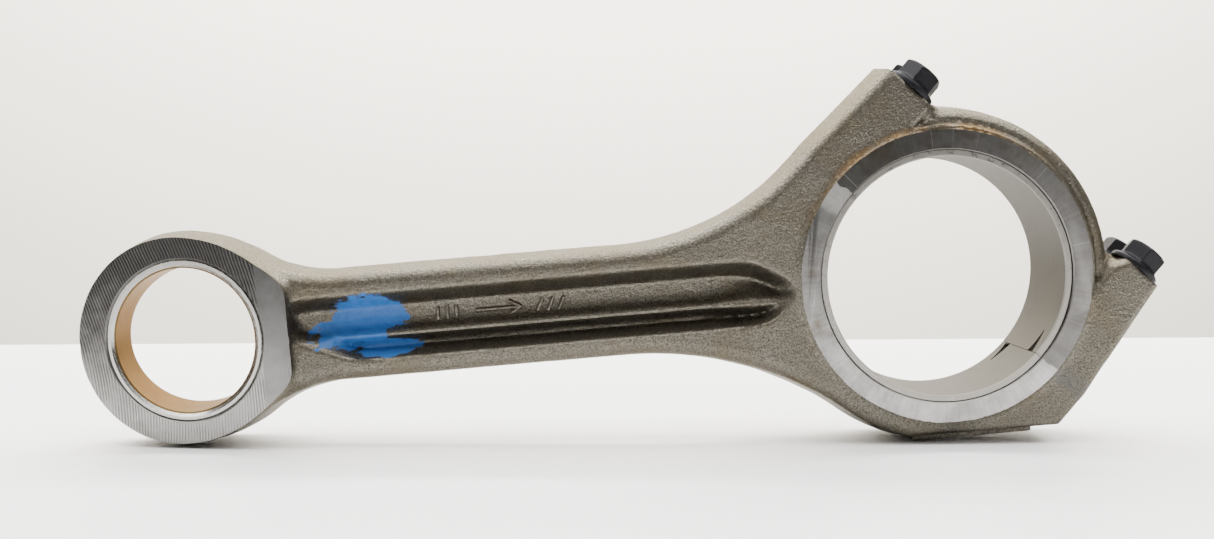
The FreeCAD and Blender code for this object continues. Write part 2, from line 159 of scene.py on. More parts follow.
def split_place(x, z):
    """t and n of a place, the other way round."""
    turned = (x + 1j * z) / LIFT_WAY
    return -turned.imag, turned.real


def small_end_face(x):
    """Half the width over the machined faces: flat beside the shank, tapered towards the tip."""
    return HALF_WIDTH - np.maximum(FOLD - x, 0) * TAPER


def plain_mesh(name, points, faces):
    mesh = bpy.data.meshes.new(name)
    mesh.from_pydata([tuple(p) for p in points], [], [tuple(f) for f in faces])
    mesh.update()
    return mesh


def linked(name, data):
    made = bpy.data.objects.new(name, data)
    bpy.context.scene.collection.objects.link(made)
    return made


def tool(points, faces, name="tool"):
    """An object that isn't a piece itself: a cutter, or a shape still being worked."""
    return linked(name, plain_mesh(name, points, faces))


def worked(target, cuts):
    """The target's mesh after the Boolean cuts, each an operation and a cutter."""
    for operation, cutter in cuts:
        modifier = target.modifiers.new(operation, "BOOLEAN")
        modifier.operation = operation
        modifier.solver = "MANIFOLD"
        modifier.object = cutter
    result = flattened(target)
    for cutter in {cutter for _, cutter in cuts}:
        bpy.data.objects.remove(cutter)
    return result


def flattened(target):
    """Replaces the target's mesh by what its modifiers make of it."""
    graph = bpy.context.evaluated_depsgraph_get()
    mesh = bpy.data.meshes.new_from_object(target.evaluated_get(graph))
    target.modifiers.clear()
    target.data = mesh
    return target


def copied(source, name):
    return linked(name, source.data.copy())


def coat(piece, *materials):
    piece.data.materials.clear()
    for material in materials:
        piece.data.materials.append(material)


def finish_piece(piece, name, body, nodes, crease=35):
    """Turns a piece into the row frame and hands it to its body."""
    place = Matrix.Rotation(-STANCE, 4, "Y") @ Matrix.Scale(MM, 4)
    piece.data.transform(place)
    piece.name = name
    piece.data.name = name
    piece.data.shade_smooth()
    piece.data.set_sharp_from_angle(angle=radians(crease))
    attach(piece, body)
    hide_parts(*nodes)
    return piece


# ---- turned and straight shapes ----
def turned(rows, centre=0.0, ring=False, span=None):
    """Rows of (radius, y) turned about a bore axis. y may be a function of x. A ring closes on
    itself; span gives the first and last angle of a part turn."""
    angles = np.linspace(*span, ROUND // 2 + 1) if span else np.arange(ROUND) * 2 * pi / ROUND
    points = []
    for radius, y in rows:
        x = centre + radius * np.cos(angles)
        z = radius * np.sin(angles)
        height = y(x) if callable(y) else np.full(len(angles), float(y))
        points.append(np.stack([x, height, z], axis=1))
    count, last = len(angles), len(rows)
    faces = []
    for i in range(last if ring else last - 1):
        for j in range(count - 1 if span else count):
            after, beside = (i + 1) % last, (j + 1) % count
            faces.append((i * count + j, after * count + j, after * count + beside, i * count + beside))
    if span:
        faces.append([i * count for i in reversed(range(last))])
        faces.append([i * count + count - 1 for i in range(last)])
    if not ring:
        faces.append(list(range(count)))
        faces.append([(last - 1) * count + j for j in reversed(range(count))])
    return np.concatenate(points), faces


def closed_faces(count):
    """Faces of a closed shape whose points are two loops of the same count."""
    walls = [(i, (i + 1) % count, count + (i + 1) % count, count + i) for i in range(count)]
    return [list(range(count))[::-1], list(range(count, 2 * count)), *walls]


def prism(corners, low, high):
    """A polygon of complex corners in the plane across the bores, from y = low to y = high."""
    corners = np.asarray(corners)
    if np.sum(corners.real * np.roll(corners.imag, -1) - np.roll(corners.real, -1) * corners.imag) > 0:
        corners = corners[::-1]
    points = [(c.real, y, c.imag) for y in (low, high) for c in corners]
    return points, closed_faces(len(corners))


def drill(start, way, radius, length, facets=64):
    """A round cutter from a point along a direction."""
    start, way = Vector(start), Vector(way).normalized()
    across = way.orthogonal().normalized()
    beside = way.cross(across)
    points = []
    for end in (start, start + way * length):
        for i in range(facets):
            angle = 2 * pi * i / facets
            points.append(end + (across * cos(angle) + beside * sin(angle)) * radius)
    return points, closed_faces(facets)


# ---- skins from a field that is negative inside the metal ----
def net(field, low, high, pitch):
    """Quads wrapped round the place where the field crosses zero."""
    axes = [np.arange(a, b + pitch, pitch) for a, b in zip(low, high)]
    x, y, z = np.meshgrid(*axes, indexing="ij", sparse=True)
    values = np.broadcast_to(field(x, y, z), [len(a) for a in axes])
    inside = values < 0
    cells = tuple(n - 1 for n in values.shape)
    total = np.zeros(cells + (3,))
    count = np.zeros(cells)
    crossings = []
    for axis in range(3):
        near = [slice(None)] * 3
        far = [slice(None)] * 3
        near[axis], far[axis] = slice(0, -1), slice(1, None)
        a, b = values[tuple(near)], values[tuple(far)]
        cross = inside[tuple(near)] != inside[tuple(far)]
        share = np.where(cross, a / np.where(cross, a - b, 1.0), 0.0)
        crossings.append((cross, inside[tuple(near)]))
        one, two = (axis + 1) % 3, (axis + 2) % 3
        for i in (0, 1):
            for j in (0, 1):
                part = [slice(None)] * 3
                part[one] = slice(i, cells[one] + i)
                part[two] = slice(j, cells[two] + j)
                hit = cross[tuple(part)]
                total[..., axis] += share[tuple(part)]
                total[..., one] += hit * i
                total[..., two] += hit * j
                count += hit
    used = count > 0
    number = np.full(cells, -1)
    number[used] = np.arange(used.sum())
    places = np.argwhere(used) + total[used] / count[used][:, None]
    points = np.array(low) + places * pitch
    quads = []
    for axis, (cross, outwards) in enumerate(crossings):
        one, two = (axis + 1) % 3, (axis + 2) % 3
        inner = [slice(None)] * 3
        inner[one] = inner[two] = slice(1, -1)
        found = np.argwhere(cross[tuple(inner)])
        found[:, one] += 1
        found[:, two] += 1
        corners = []
        for i, j in ((-1, -1), (0, -1), (0, 0), (-1, 0)):
            cell = found.copy()
            cell[:, one] += i
            cell[:, two] += j
            corners.append(number[tuple(cell.T)])
        quad = np.stack(corners, axis=1)
        flip = ~outwards[tuple(found.T)]
        quad[flip] = quad[flip][:, ::-1]
        quads.append(quad)
    return points, np.concatenate(quads)


def settled(points, quads, field, pitch, rounds=3):
    """Evens the net out and draws it onto the field's zero."""
    nudge = 0.15 * pitch
    for _ in range(rounds):
        middles = points[quads].mean(axis=1)
        total, count = np.zeros_like(points), np.zeros(len(points))
        for corner in range(4):
            np.add.at(total, quads[:, corner], middles)
            np.add.at(count, quads[:, corner], 1)
        points = 0.4 * points + 0.6 * total / count[:, None]
        for _ in range(2):
            value = field(*points.T)
            slope = np.stack([
                (field(*(points + step).T) - field(*(points - step).T)) / (2 * nudge)
                for step in np.eye(3) * nudge
            ], axis=1)
            move = value[:, None] * slope / np.maximum((slope**2).sum(axis=1), 0.2)[:, None]
            far = np.maximum(np.linalg.norm(move, axis=1) / (0.5 * pitch), 1.0)
            points = points - move / far[:, None]
    return points


def skin(name, field, low, high, pitch):
    """A tool object whose surface is the field's zero."""
    points, quads = net(field, low, high, pitch)
    return tool(settled(points, quads, field, pitch), quads, name)


def rounded_both(a, b, radius):
    """Inside both fields, with the edge between them rounded."""
    corner = np.hypot(np.maximum(radius + a, 0), np.maximum(radius + b, 0))
    return np.minimum(-radius, np.maximum(a, b)) + corner


def rounded_either(a, b, radius):
    """Inside either field, with a fillet between them."""
    corner = np.hypot(np.maximum(radius - a, 0), np.maximum(radius - b, 0))
    return np.maximum(radius, np.minimum(a, b)) - corner


def unevenness(x, y, z, pitch, seed):
    """Smooth random heights between -1 and 1 on a lattice of the given pitch."""
    size = 64
    lattice = np.random.default_rng(seed).uniform(-1, 1, (size, size, size))
    whole, shares = [], []
    for value in (x, y, z):
        scaled = np.asarray(value) / pitch
        floor = np.floor(scaled)
        share = scaled - floor
        whole.append(floor.astype(int) % size)
        shares.append(share * share * (3 - 2 * share))
    total = 0.0
    for i in (0, 1):
        for j in (0, 1):
            for k in (0, 1):
                weight = abs(1 - i - shares[0]) * abs(1 - j - shares[1]) * abs(1 - k - shares[2])
                spot = lattice[(whole[0] + i) % size, (whole[1] + j) % size, (whole[2] + k) % size]
                total = total + weight * spot
    return total


# ---- the forging ----
def arc(centre, start, end):
    """Points along the shorter arc about centre, without its end."""
    turn = np.angle((end - centre) / (start - centre))
    steps = max(2, int(abs(turn * abs(start - centre)) / ARC_STEP))
    return centre + (start - centre) * np.exp(1j * turn * np.arange(steps) / steps)


def small_end_half():
    """Tip, shoulder and neck of the small end, from its tip to the top of the shank."""
    outward = np.exp(1j * SHOULDER_TURN)
    tip = SMALL_CENTRE - SMALL_END + 0j
    joint = SMALL_CENTRE + outward * SMALL_END
    shoulder = SMALL_CENTRE - outward * (SHOULDER - SMALL_END)
    neck_z = HALF_SHANK + NECK
    run = sqrt((SHOULDER + NECK) ** 2 - (neck_z - shoulder.imag) ** 2)
    neck = shoulder.real + run + neck_z * 1j
    bend = shoulder + (neck - shoulder) * SHOULDER / (SHOULDER + NECK)
    foot = neck.real + HALF_SHANK * 1j
    return np.concatenate([
        arc(SMALL_CENTRE + 0j, tip, joint), arc(shoulder, joint, bend), arc(neck, bend, foot), [foot],
    ])


def forging_outline():
    """Outline of rod and cap at mid-width, as complex points, before the seats are machined."""
    half = small_end_half()
    flare_t = -(BOSS + UPPER_FLARE)
    flare_z = HALF_SHANK + UPPER_FLARE
    upper = (flare_t + flare_z * cos(SPLIT)) / sin(SPLIT) + flare_z * 1j
    upper_start, upper_end = upper - UPPER_FLARE * 1j, upper + SEAM_WAY * UPPER_FLARE
    taper = split_place(upper_end.real, upper_end.imag)[1] + 5.0
    upper_top, lower_top = UPPER_SEAT + SEAT_STOCK, LOWER_SEAT + SEAT_STOCK
    upper_corner = BOSS + (UPPER_CORNER - BOSS) * (upper_top - taper) / (UPPER_SEAT - taper)
    lower_corner = BOSS + (LOWER_CORNER - BOSS) * lower_top / LOWER_SEAT
    stock_start = SEAT_EDGE + 1.2
    upper_neck = at_split(-sqrt(BIG_END**2 - upper_top**2), upper_top)
    lower_neck = at_split(sqrt(BIG_END**2 - LOWER_SEAT**2), LOWER_SEAT)
    boss_foot = (BOSS + UNDERSIDE * cos(SPLIT)) / sin(SPLIT) + UNDERSIDE * 1j
    flat_start = -sqrt(BIG_END**2 - UNDERSIDE**2) + UNDERSIDE * 1j
    lower_z = -(HALF_SHANK + LOWER_FLARE)
    lower = -sqrt((BIG_END + LOWER_FLARE) ** 2 - lower_z**2) + lower_z * 1j
    on_round = lower * BIG_END / (BIG_END + LOWER_FLARE)
    return np.concatenate([
        half,
        arc(upper, upper_start, upper_end),
        [upper_end, at_split(-BOSS, taper), at_split(-upper_corner, upper_top)],
        arc(0j, upper_neck, lower_neck),
        [lower_neck, at_split(stock_start, LOWER_SEAT), at_split(stock_start, lower_top)],
        [at_split(lower_corner, lower_top), at_split(BOSS, 0), boss_foot],
        arc(0j, flat_start, on_round),
        arc(lower, on_round, lower + LOWER_FLARE * 1j),
        [lower + LOWER_FLARE * 1j],
        np.conj(half[1:])[::-1],
    ])


class OutlineDistance:
    """Distance to a closed outline, negative inside, looked up on a fine table."""

    PITCH = 0.6

    def __init__(self, outline, margin=6.0):
        self.low = complex(outline.real.min() - margin, outline.imag.min() - margin)
        high = complex(outline.real.max() + margin, outline.imag.max() + margin)
        x = np.arange(self.low.real, high.real, self.PITCH)
        z = np.arange(self.low.imag, high.imag, self.PITCH)
        place = x[:, None] + 1j * z[None, :]
        nearest = np.full(place.shape, np.inf)
        inside = np.zeros(place.shape, bool)
        for start, end in zip(outline, np.roll(outline, -1)):
            way = end - start
            if abs(way) < 1e-9:
                continue
            off = place - start
            along = np.clip((off * np.conj(way)).real / abs(way) ** 2, 0, 1)
            nearest = np.minimum(nearest, abs(off - along * way))
            if start.imag != end.imag:
                crosses = (start.imag > place.imag) != (end.imag > place.imag)
                reach = start.real + (place.imag - start.imag) * way.real / way.imag
                inside ^= crosses & (place.real < reach)
        self.table = np.where(inside, -nearest, nearest)

    def __call__(self, x, z):
        u = np.clip((x - self.low.real) / self.PITCH, 0, self.table.shape[0] - 1.001)
        v = np.clip((z - self.low.imag) / self.PITCH, 0, self.table.shape[1] - 1.001)
        i, j = u.astype(int), v.astype(int)
        u, v = u - i, v - j
        near = self.table[i, j] * (1 - v) + self.table[i, j + 1] * v
        far = self.table[i + 1, j] * (1 - v) + self.table[i + 1, j + 1] * v
        return near * (1 - u) + far * u


CHANNEL_EDGE = [          # corners of the shank's channel where it meets the flanges
    -248 + 11.6j, -70 + 12j, -54 + 1j, -61 - 9.6j, -67 - 12.6j, -222 - 12.6j, -248 - 1j,
]
CHANNEL_WALL = 6.5
CHANNEL_SOFTNESS = 1.7
RIDGE_TOP = 4.7           # above the web
RIDGE_SPREAD = 2.3
RIDGE_LEAN = 0.5          # how much gentler its upper side is
ROOT_RISE = 5.0           # of the ridge where it runs into the big end
ROOT_SPREAD = 2.4
ROOT_X = (-92, -60)
CHANNEL_START_X = (-236, -226)
STRAP_DROP = 2.0
STRAP_FOOT = (22, 32)     # out of the parting line
STRAP_EDGE = (43.0, 46.5)
GROOVE_RADIUS = THRUST_RING + 3.1
GROOVE_DEPTH = 0.6
SHANK_RIM = 0.3
SMALL_END_RIM = 4.6
LOWER_BOSS_RIM = 2.2
UPPER_BOSS_RIM = 3.2
STRAP_RIM = 5.5


def channel_distance(x, z):
    """About how far a place is outside the channel's edge, with soft corners."""
    place = x + 1j * z
    total = 0.0
    for start, end in zip(CHANNEL_EDGE, CHANNEL_EDGE[1:] + CHANNEL_EDGE[:1]):
        outward = (end - start) / abs(end - start) * 1j
        distance = ((place - start) * np.conj(outward)).real
        total = total + np.exp(np.clip(distance / CHANNEL_SOFTNESS, -40, 40))
    return CHANNEL_SOFTNESS * np.log(total)


def face_height(x, z):
    """Half the forged width at a place: flanges, channel, spine, big end and strap."""
    t, n = split_place(x, z)
    from_bore = np.hypot(x, z)
    big_end = ramp(x, -BIG_END - 17, -BIG_END + 1)
    flange = SHANK_HALF_WIDTH + (FORGED_HALF - SHANK_HALF_WIDTH) * big_end
    root = ramp(x, *ROOT_X)
    spread = RIDGE_SPREAD + ROOT_SPREAD * root + RIDGE_LEAN * ramp(z, SPINE_Z - 0.5, SPINE_Z + 1.5)
    start = ramp(x, *CHANNEL_START_X)
    ridge = (RIDGE_TOP * start + ROOT_RISE * root) * np.exp(-(((z - SPINE_Z) / spread) ** 2))
    floor = WEB_HALF + ridge + 1.5 * (1 - start)
    width = CHANNEL_WALL - 3.2 * ramp(-z, -2, 4) + 5.0 * ramp(-x, 216, 232) * ramp(-z, 0, 6)
    wall = ramp(channel_distance(x, z), -width, 0.6)
    height = floor + (flange - floor) * wall
    fillet = np.clip(1 - (from_bore - THRUST_RING) / RING_FILLET, 0, 1)
    strap = ramp(n, *STRAP_FOOT) * (1 - ramp(abs(t), *STRAP_EDGE))
    lip = 1 - ramp(from_bore, THRUST_RING + 1.2, THRUST_RING + 2.8)
    groove = GROOVE_DEPTH * np.exp(-(((from_bore - GROOVE_RADIUS) / 0.8) ** 2))
    height = height + (1 - strap) * (HALF_WIDTH - FORGED_HALF) * fillet**2
    return height - strap * (STRAP_DROP * (1 - 0.85 * lip) + groove)


def rim_radius(x, z):
    """How round the forging's edges are, from place to place."""
    t, n = split_place(x, z)
    shank = SHANK_RIM + (SMALL_END_RIM - SHANK_RIM) * ramp(x, FOLD - 3, FLAT_END - 2)
    lower_boss = ramp(t, 38, 52)
    strap = ramp(n, 15, 35) * (1 - ramp(abs(t), 41, 47))
    upper_boss = ramp(-t, 38, 52) * ramp(n, -30, 0)
    radius = shank + (LOWER_BOSS_RIM - shank) * lower_boss
    radius = radius + (UPPER_BOSS_RIM - radius) * upper_boss
    return radius + (STRAP_RIM - radius) * strap


outline_distance = OutlineDistance(forging_outline())


def forging_field(x, y, z):
    side = np.abs(y)
    from_outline = outline_distance(x, z)
    draft = (from_outline + side * tan(DRAFT)) * cos(DRAFT)
    height = face_height(x, z)
    nudge = 0.3
    slope_x = (face_height(x + nudge, z) - height) / nudge
    slope_z = (face_height(x, z + nudge) - height) / nudge
    face = (side - height) / np.sqrt(1 + slope_x**2 + slope_z**2)
    flat = rounded_both(x - FLAT_END, from_outline + HALF_WIDTH * tan(DRAFT), FLAT_CORNER)
    ring = np.hypot(x, z) - THRUST_RING
    face = rounded_either(face, flat, STEP_FILLET)
    face = np.minimum(face, ring)
    body = rounded_both(draft, face, rim_radius(x, z))
    return np.maximum(body, side - HALF_WIDTH - 2.0)


def rough_forging_field(x, y, z):
    """The forging with the gentle unevenness of a hammered and blasted surface."""
    uneven = 0.10 * unevenness(x, y, z, 8.0, 3) + 0.05 * unevenness(x, y, z, 3.0, 5)
    return forging_field(x, y, z) + uneven


def split_block(side, gap=0.1):
    """Everything on one side of the broken, slightly wavy parting face."""
    half_t, half_y, reach = 82.0, 26.0, 130.0 if side > 0 else 420.0
    t = np.arange(-half_t, half_t + 0.5, 1.0)
    y = np.arange(-half_y, half_y + 0.5, 1.0)
    grid_t, grid_y = np.meshgrid(t, y, indexing="ij")
    wave = 1.1 * unevenness(grid_t, grid_y, 0, 2.6, 11) + 0.35 * unevenness(grid_t, grid_y, 0, 9.0, 12)
    if side < 0:
        half_t = 420.0
        grid_t = np.where(abs(grid_t) >= t[-1], np.sign(grid_t) * half_t, grid_t)
    place = at_split(grid_t, wave + side * gap / 2)
    top = np.stack([place.real, grid_y, place.imag], axis=-1).reshape(-1, 3)
    far = at_split(grid_t, side * reach)
    base = np.stack([far.real, grid_y, far.imag], axis=-1).reshape(-1, 3)
    rows, columns = grid_t.shape
    number = np.arange(rows * columns).reshape(rows, columns)
    quads = np.stack([number[:-1, :-1], number[1:, :-1], number[1:, 1:], number[:-1, 1:]], axis=-1)
    quads = quads.reshape(-1, 4)
    faces = [q if side < 0 else q[::-1] for q in quads]
    edge = [*number[:-1, 0], *number[-1, :-1], *number[:0:-1, -1], *number[0, :0:-1]]
    rim = rows * columns + np.arange(len(edge))
    points = np.concatenate([top, base[edge]])
    for i in range(len(edge)):
        j = (i + 1) % len(edge)
        quad = (edge[j], edge[i], rim[i], rim[j])
        faces.append(quad if side < 0 else quad[::-1])
    faces.append(list(rim)[::-1] if side < 0 else list(rim))
    return tool(points, faces)


def machined_slab():
    """What the two machined sides leave: thrust faces, small-end flats and tapers."""
    low, high = SMALL_CENTRE - 60, 120.0
    plan = [(low, small_end_face(low)), (FOLD, HALF_WIDTH), (high, HALF_WIDTH)]
    plan += [(x, -y) for x, y in reversed(plan)]
    points = [(x, y, z) for z in (-120, 120) for x, y in plan]
    return tool(points, [face[::-1] for face in closed_faces(len(plan))])


def seat_cutter(side, height):
    """Clears a bolt seat over the full width, with a small fillet against the strap."""
    fillet, reach = 2.0, 60.0
    corner = at_split(side * (SEAT_EDGE + fillet), height + fillet)
    start, end = at_split(side * SEAT_EDGE, height + fillet), at_split(side * (SEAT_EDGE + fillet), height)
    far, top = side * (SEAT_EDGE + reach), height + reach
    outside = [at_split(far, height), at_split(far, top), at_split(side * SEAT_EDGE, top)]
    return tool(*prism([*arc(corner, start, end), end, *outside], -30, 30))


def bolt_holes(radius, low, high):
    """Four round cutters along the bolt axes, as one object."""
    points, faces = [], []
    for side in (-1, 1):
        for y in (-BOLT_OFFSET, BOLT_OFFSET):
            start, end = at_split(side * BOLT_ROW, low), at_split(side * BOLT_ROW, high)
            way = (end.real - start.real, 0, end.imag - start.imag)
            some, more = drill((start.real, y, start.imag), way, radius, high - low)
            faces += [[i + len(points) for i in face] for face in more]
            points += some
    return tool(points, faces)


def mouths(half, face):
    """Rows to be turned, from one mouth's radii and depths below the face and the same mirrored."""
    front = [(radius, lambda x, depth=depth: depth - face(x)) for radius, depth in half]
    rear = [(radius, lambda x, depth=depth: face(x) - depth) for radius, depth in half[::-1]]
    return front + rear


def bore_cutter(radius, centre, face, chamfer, depth):
    """A bore with a chamfer, or with a step where the chamfer has no slope, at both mouths."""
    half = [(radius + chamfer, -8.0), (radius + chamfer, 0.02), (radius, depth)]
    return tool(*turned(mouths(half, face), centre))


def oil_gallery():
    start = (-CENTRE_DISTANCE, 0, SPINE_Z)
    return tool(*drill(start, (1, 0, 0), OIL_RADIUS, CENTRE_DISTANCE, 32))


def pad_block():
    corners = [
        complex(PAD_X[0], PAD_LEVEL + 0.5), complex(PAD_X[0] + 0.5, PAD_LEVEL),
        complex(PAD_X[1] - 0.5, PAD_LEVEL), complex(PAD_X[1], PAD_LEVEL + 0.5),
        complex(PAD_X[1], PAD_LEVEL + 8), complex(PAD_X[0], PAD_LEVEL + 8),
    ]
    return tool(*prism(corners, -PAD_HALF, PAD_HALF))


def lug_notch(cap_side, grow=0.2):
    """Notch of the housing that a shell's lug sits in."""
    inner, outer = HOUSING - 1.0, HOUSING + LUG_RISE + grow
    end = cap_side * (LUG_LENGTH + grow)
    start = -cap_side * 1.5
    corners = [at_split(inner, start), at_split(outer, start), at_split(outer, end), at_split(inner, end)]
    y = -cap_side * LUG_PLACE
    return tool(*prism(corners, y - LUG_HALF - grow, y + LUG_HALF + grow))


def forged_pieces():
    low = (SMALL_CENTRE - SMALL_END - 2, -HALF_WIDTH - 4, UNDERSIDE - 4)
    high = (88, HALF_WIDTH + 4, 86)
    blank = skin("forging", rough_forging_field, low, high, SKIN_PITCH)
    worked(blank, [
        ("INTERSECT", machined_slab()),
        ("UNION", pad_block()),
        ("DIFFERENCE", bore_cutter(HOUSING, 0.0, lambda x: x * 0 + HALF_WIDTH, 0.4, 0.42)),
        ("DIFFERENCE", bore_cutter(BUSH_SEAT, -CENTRE_DISTANCE, small_end_face, 0.75, 0.9)),
        ("DIFFERENCE", oil_gallery()),
    ])
    cap = copied(blank, "cap")
    worked(blank, [
        ("INTERSECT", split_block(-1)),
        ("DIFFERENCE", bolt_holes(ROD_HOLE, UPPER_SEAT - BOLT_LENGTH - 4, 10)),
        ("DIFFERENCE", lug_notch(-1)),
    ])
    worked(cap, [
        ("INTERSECT", split_block(1)),
        ("DIFFERENCE", seat_cutter(-1, UPPER_SEAT)),
        ("DIFFERENCE", seat_cutter(1, LOWER_SEAT)),
        ("DIFFERENCE", bolt_holes(CAP_HOLE, -10, 90)),
        ("DIFFERENCE", lug_notch(1)),
    ])
    return blank, cap


# ---- node trees ----
class Flow:
    """A value on its way through a node tree, which the usual arithmetic works on."""

    def __init__(self, tree, socket):
        self.tree = tree
        self.socket = socket

    def math(self, operation, *others):
        return node(self.tree, "ShaderNodeMath", dict(enumerate((self, *others))), operation=operation)

    def __add__(self, other):
        return self.math("ADD", other)

    def __sub__(self, other):
        return self.math("SUBTRACT", other)

    def __rsub__(self, other):
        return node(self.tree, "ShaderNodeMath", {0: other, 1: self}, operation="SUBTRACT")

    def __mul__(self, other):
        return self.math("MULTIPLY", other)

    def __truediv__(self, other):
        return self.math("DIVIDE", other)

    def __rtruediv__(self, other):
        return node(self.tree, "ShaderNodeMath", {0: other, 1: self}, operation="DIVIDE")

    def vector(self, operation, *others, out=0):
        inputs = dict(enumerate((self, *others)))
        return node(self.tree, "ShaderNodeVectorMath", inputs, out, operation=operation)

    def dot(self, way):
        return self.vector("DOT_PRODUCT", way, out="Value")

    def length(self):
        return self.vector("LENGTH", out="Value")

    def part(self, axis):
        return node(self.tree, "ShaderNodeSeparateXYZ", {0: self}, axis)

    def along(self, axis):
        """A vector that is this value on one axis."""
        return node(self.tree, "ShaderNodeCombineXYZ", {axis: self})

    def noise(self, scale, detail=3.0, rough=0.55, stretch=None):
        where = self
        if stretch:
            where = node(self.tree, "ShaderNodeMapping", {"Vector": self, "Scale": stretch})
        return node(self.tree, "ShaderNodeTexNoise", {
            "Vector": where, "Scale": scale, "Detail": detail, "Roughness": rough,
        }, "Fac")

    def between(self, low, high, start=0.0, end=1.0):
        """start where the value is below low, end where it is above high, smooth between."""
        return node(self.tree, "ShaderNodeMapRange", {
            "Value": self, "From Min": low, "From Max": high, "To Min": start, "To Max": end,
        }, interpolation_type="SMOOTHSTEP")

    def blend(self, first, second):
        """A colour between two others, by this share of the second."""
        mix = self.tree.nodes.new("ShaderNodeMix")
        mix.data_type = "RGBA"
        sockets = {socket.identifier: socket for socket in mix.inputs}
        feed(sockets["Factor_Float"], self)
        for identifier, colour in (("A_Color", first), ("B_Color", second)):
            feed(sockets[identifier], colour if isinstance(colour, Flow) else (*colour, 1))
        return Flow(self.tree, next(s for s in mix.outputs if s.identifier == "Result_Color"))


def feed(socket, value):
    """Gives an input its value, or links the flow or the flows that feed it."""
    for item in value if isinstance(value, list) else [value]:
        if isinstance(item, Flow):
            item.tree.links.new(item.socket, socket)
        else:
            socket.default_value = item


def node(tree, kind, inputs=None, out=0, **settings):
    """One output of a new node with these settings and inputs."""
    made = tree.nodes.new(kind)
    for key, value in settings.items():
        setattr(made, key, value)
    for key, value in (inputs or {}).items():
        feed(made.inputs[key], value)
    return Flow(tree, made.outputs[out])


def node_group(name, kind, inputs, outputs):
    """An empty group, with its inputs as flows and the sockets of its outputs."""
    tree = bpy.data.node_groups.new(name, kind + "NodeTree")
    for way, labels in (("INPUT", inputs), ("OUTPUT", outputs)):
        for label, what in labels.items():
            tree.interface.new_socket(label, in_out=way, socket_type="NodeSocket" + what)
    given = {socket.name: Flow(tree, socket) for socket in tree.nodes.new("NodeGroupInput").outputs}
    return tree, given, tree.nodes.new("NodeGroupOutput").inputs


def single_piece(shape, finish):
    single = node(shape.tree, "GeometryNodeRealizeInstances", {"Geometry": shape})
    return node(shape.tree, "GeometryNodeSetMaterial", {"Geometry": single, "Material": finish})


def grown(target, tree, values):
    """Runs a tree on an object's mesh with these sizes, and keeps the result as its mesh."""
    modifier = target.modifiers.new(tree.name, "NODES")
    modifier.node_group = tree
    for item in tree.interface.items_tree:
        if item.in_out == "INPUT" and item.name in values:
            modifier[item.identifier] = values[item.name]
    return flattened(target)


# ---- bolts, shells and bush ----
def cone(z, from_axis, height, radius, slope):
    """Distance above a cone that is this high at this radius and falls outwards."""
    return (z - height + (from_axis - radius) * tan(slope)) * cos(slope)


def head_field(x, y, z):
    """Hex head with its flange, standing on z = 0, with every edge slightly rounded."""
    from_axis = np.hypot(x, y)
    hexagon = -1e9
    for turn in np.arange(3) * pi / 3 + pi / 6:
        hexagon = np.maximum(hexagon, abs(x * cos(turn) + y * sin(turn)) - HEX_HALF)
    crown = cone(z, from_axis, HEAD_TOP, HEX_HALF - 0.4, CROWN_SLOPE)
    dish = DISH_DEPTH * (1 - ramp(from_axis, 3.6, 4.6))
    top = np.maximum(crown, z - HEAD_TOP + dish)
    hexagon = rounded_both(hexagon, top, 0.35)
    flange = cone(z, from_axis, FLANGE_TOP, FLANGE, FLANGE_SLOPE)
    disc = rounded_both(from_axis - FLANGE, flange, 0.5)
    head = rounded_either(hexagon, disc, 0.7)
    return rounded_both(head, -z, 0.25)


def bolt_blank():
    """Head and smooth shank of a bolt, on its seat at the origin with its head up."""
    head = skin("head", head_field, (-11, -11, -1), (11, 11, 10.5), 0.3)
    rows = [
        (0.01, -BOLT_LENGTH), (BOLT_TIP, -BOLT_LENGTH), (BOLT_WAIST, 1.0 - BOLT_LENGTH),
        (BOLT_WAIST, -34.0), (BOLT_SHANK, -32.5), (BOLT_SHANK, -0.8), (5.9, 0.3), (5.9, 3.0), (0.01, 3.0),
    ]
    points, faces = turned(rows)
    shank = tool(points[:, [0, 2, 1]] * (1, -1, 1), faces)
    return worked(head, [("UNION", shank)])


def bolt_tree(finish):
    """Cuts a thread on a bolt blank, turns its head and drives it into its hole."""
    tree, size, out = node_group("flange_bolt", "Geometry", {
        "Geometry": "Geometry", "Core Radius": "Float", "Pitch": "Float", "Thread Length": "Float",
        "Bolt Length": "Float", "Roll": "Float", "Lean": "Float", "Seat": "Vector",
    }, {"Geometry": "Geometry"})
    spiral = node(tree, "GeometryNodeCurveSpiral", {
        "Resolution": 28, "Rotations": size["Thread Length"] / size["Pitch"],
        "Start Radius": size["Core Radius"], "End Radius": size["Core Radius"],
        "Height": size["Thread Length"],
    })
    upright = node(tree, "GeometryNodeSetCurveNormal", {"Curve": spiral}, mode="Z_UP")
    profile = node(tree, "GeometryNodeCurvePrimitiveCircle", {
        "Resolution": 4, "Radius": size["Pitch"] * 0.5,
    })
    ridge = node(tree, "GeometryNodeCurveToMesh", {
        "Curve": upright, "Profile Curve": profile, "Fill Caps": True,
    })
    drop = (1.6 - size["Bolt Length"]).along(2)
    thread = node(tree, "GeometryNodeTransform", {"Geometry": ridge, "Translation": drop})
    whole = node(tree, "GeometryNodeJoinGeometry", {"Geometry": [size["Geometry"], thread]})
    rolled = node(tree, "GeometryNodeTransform", {"Geometry": whole, "Rotation": size["Roll"].along(2)})
    placed = node(tree, "GeometryNodeTransform", {
        "Geometry": rolled, "Rotation": size["Lean"].along(1), "Translation": size["Seat"],
    })
    feed(out[0], single_piece(placed, finish))
    return tree


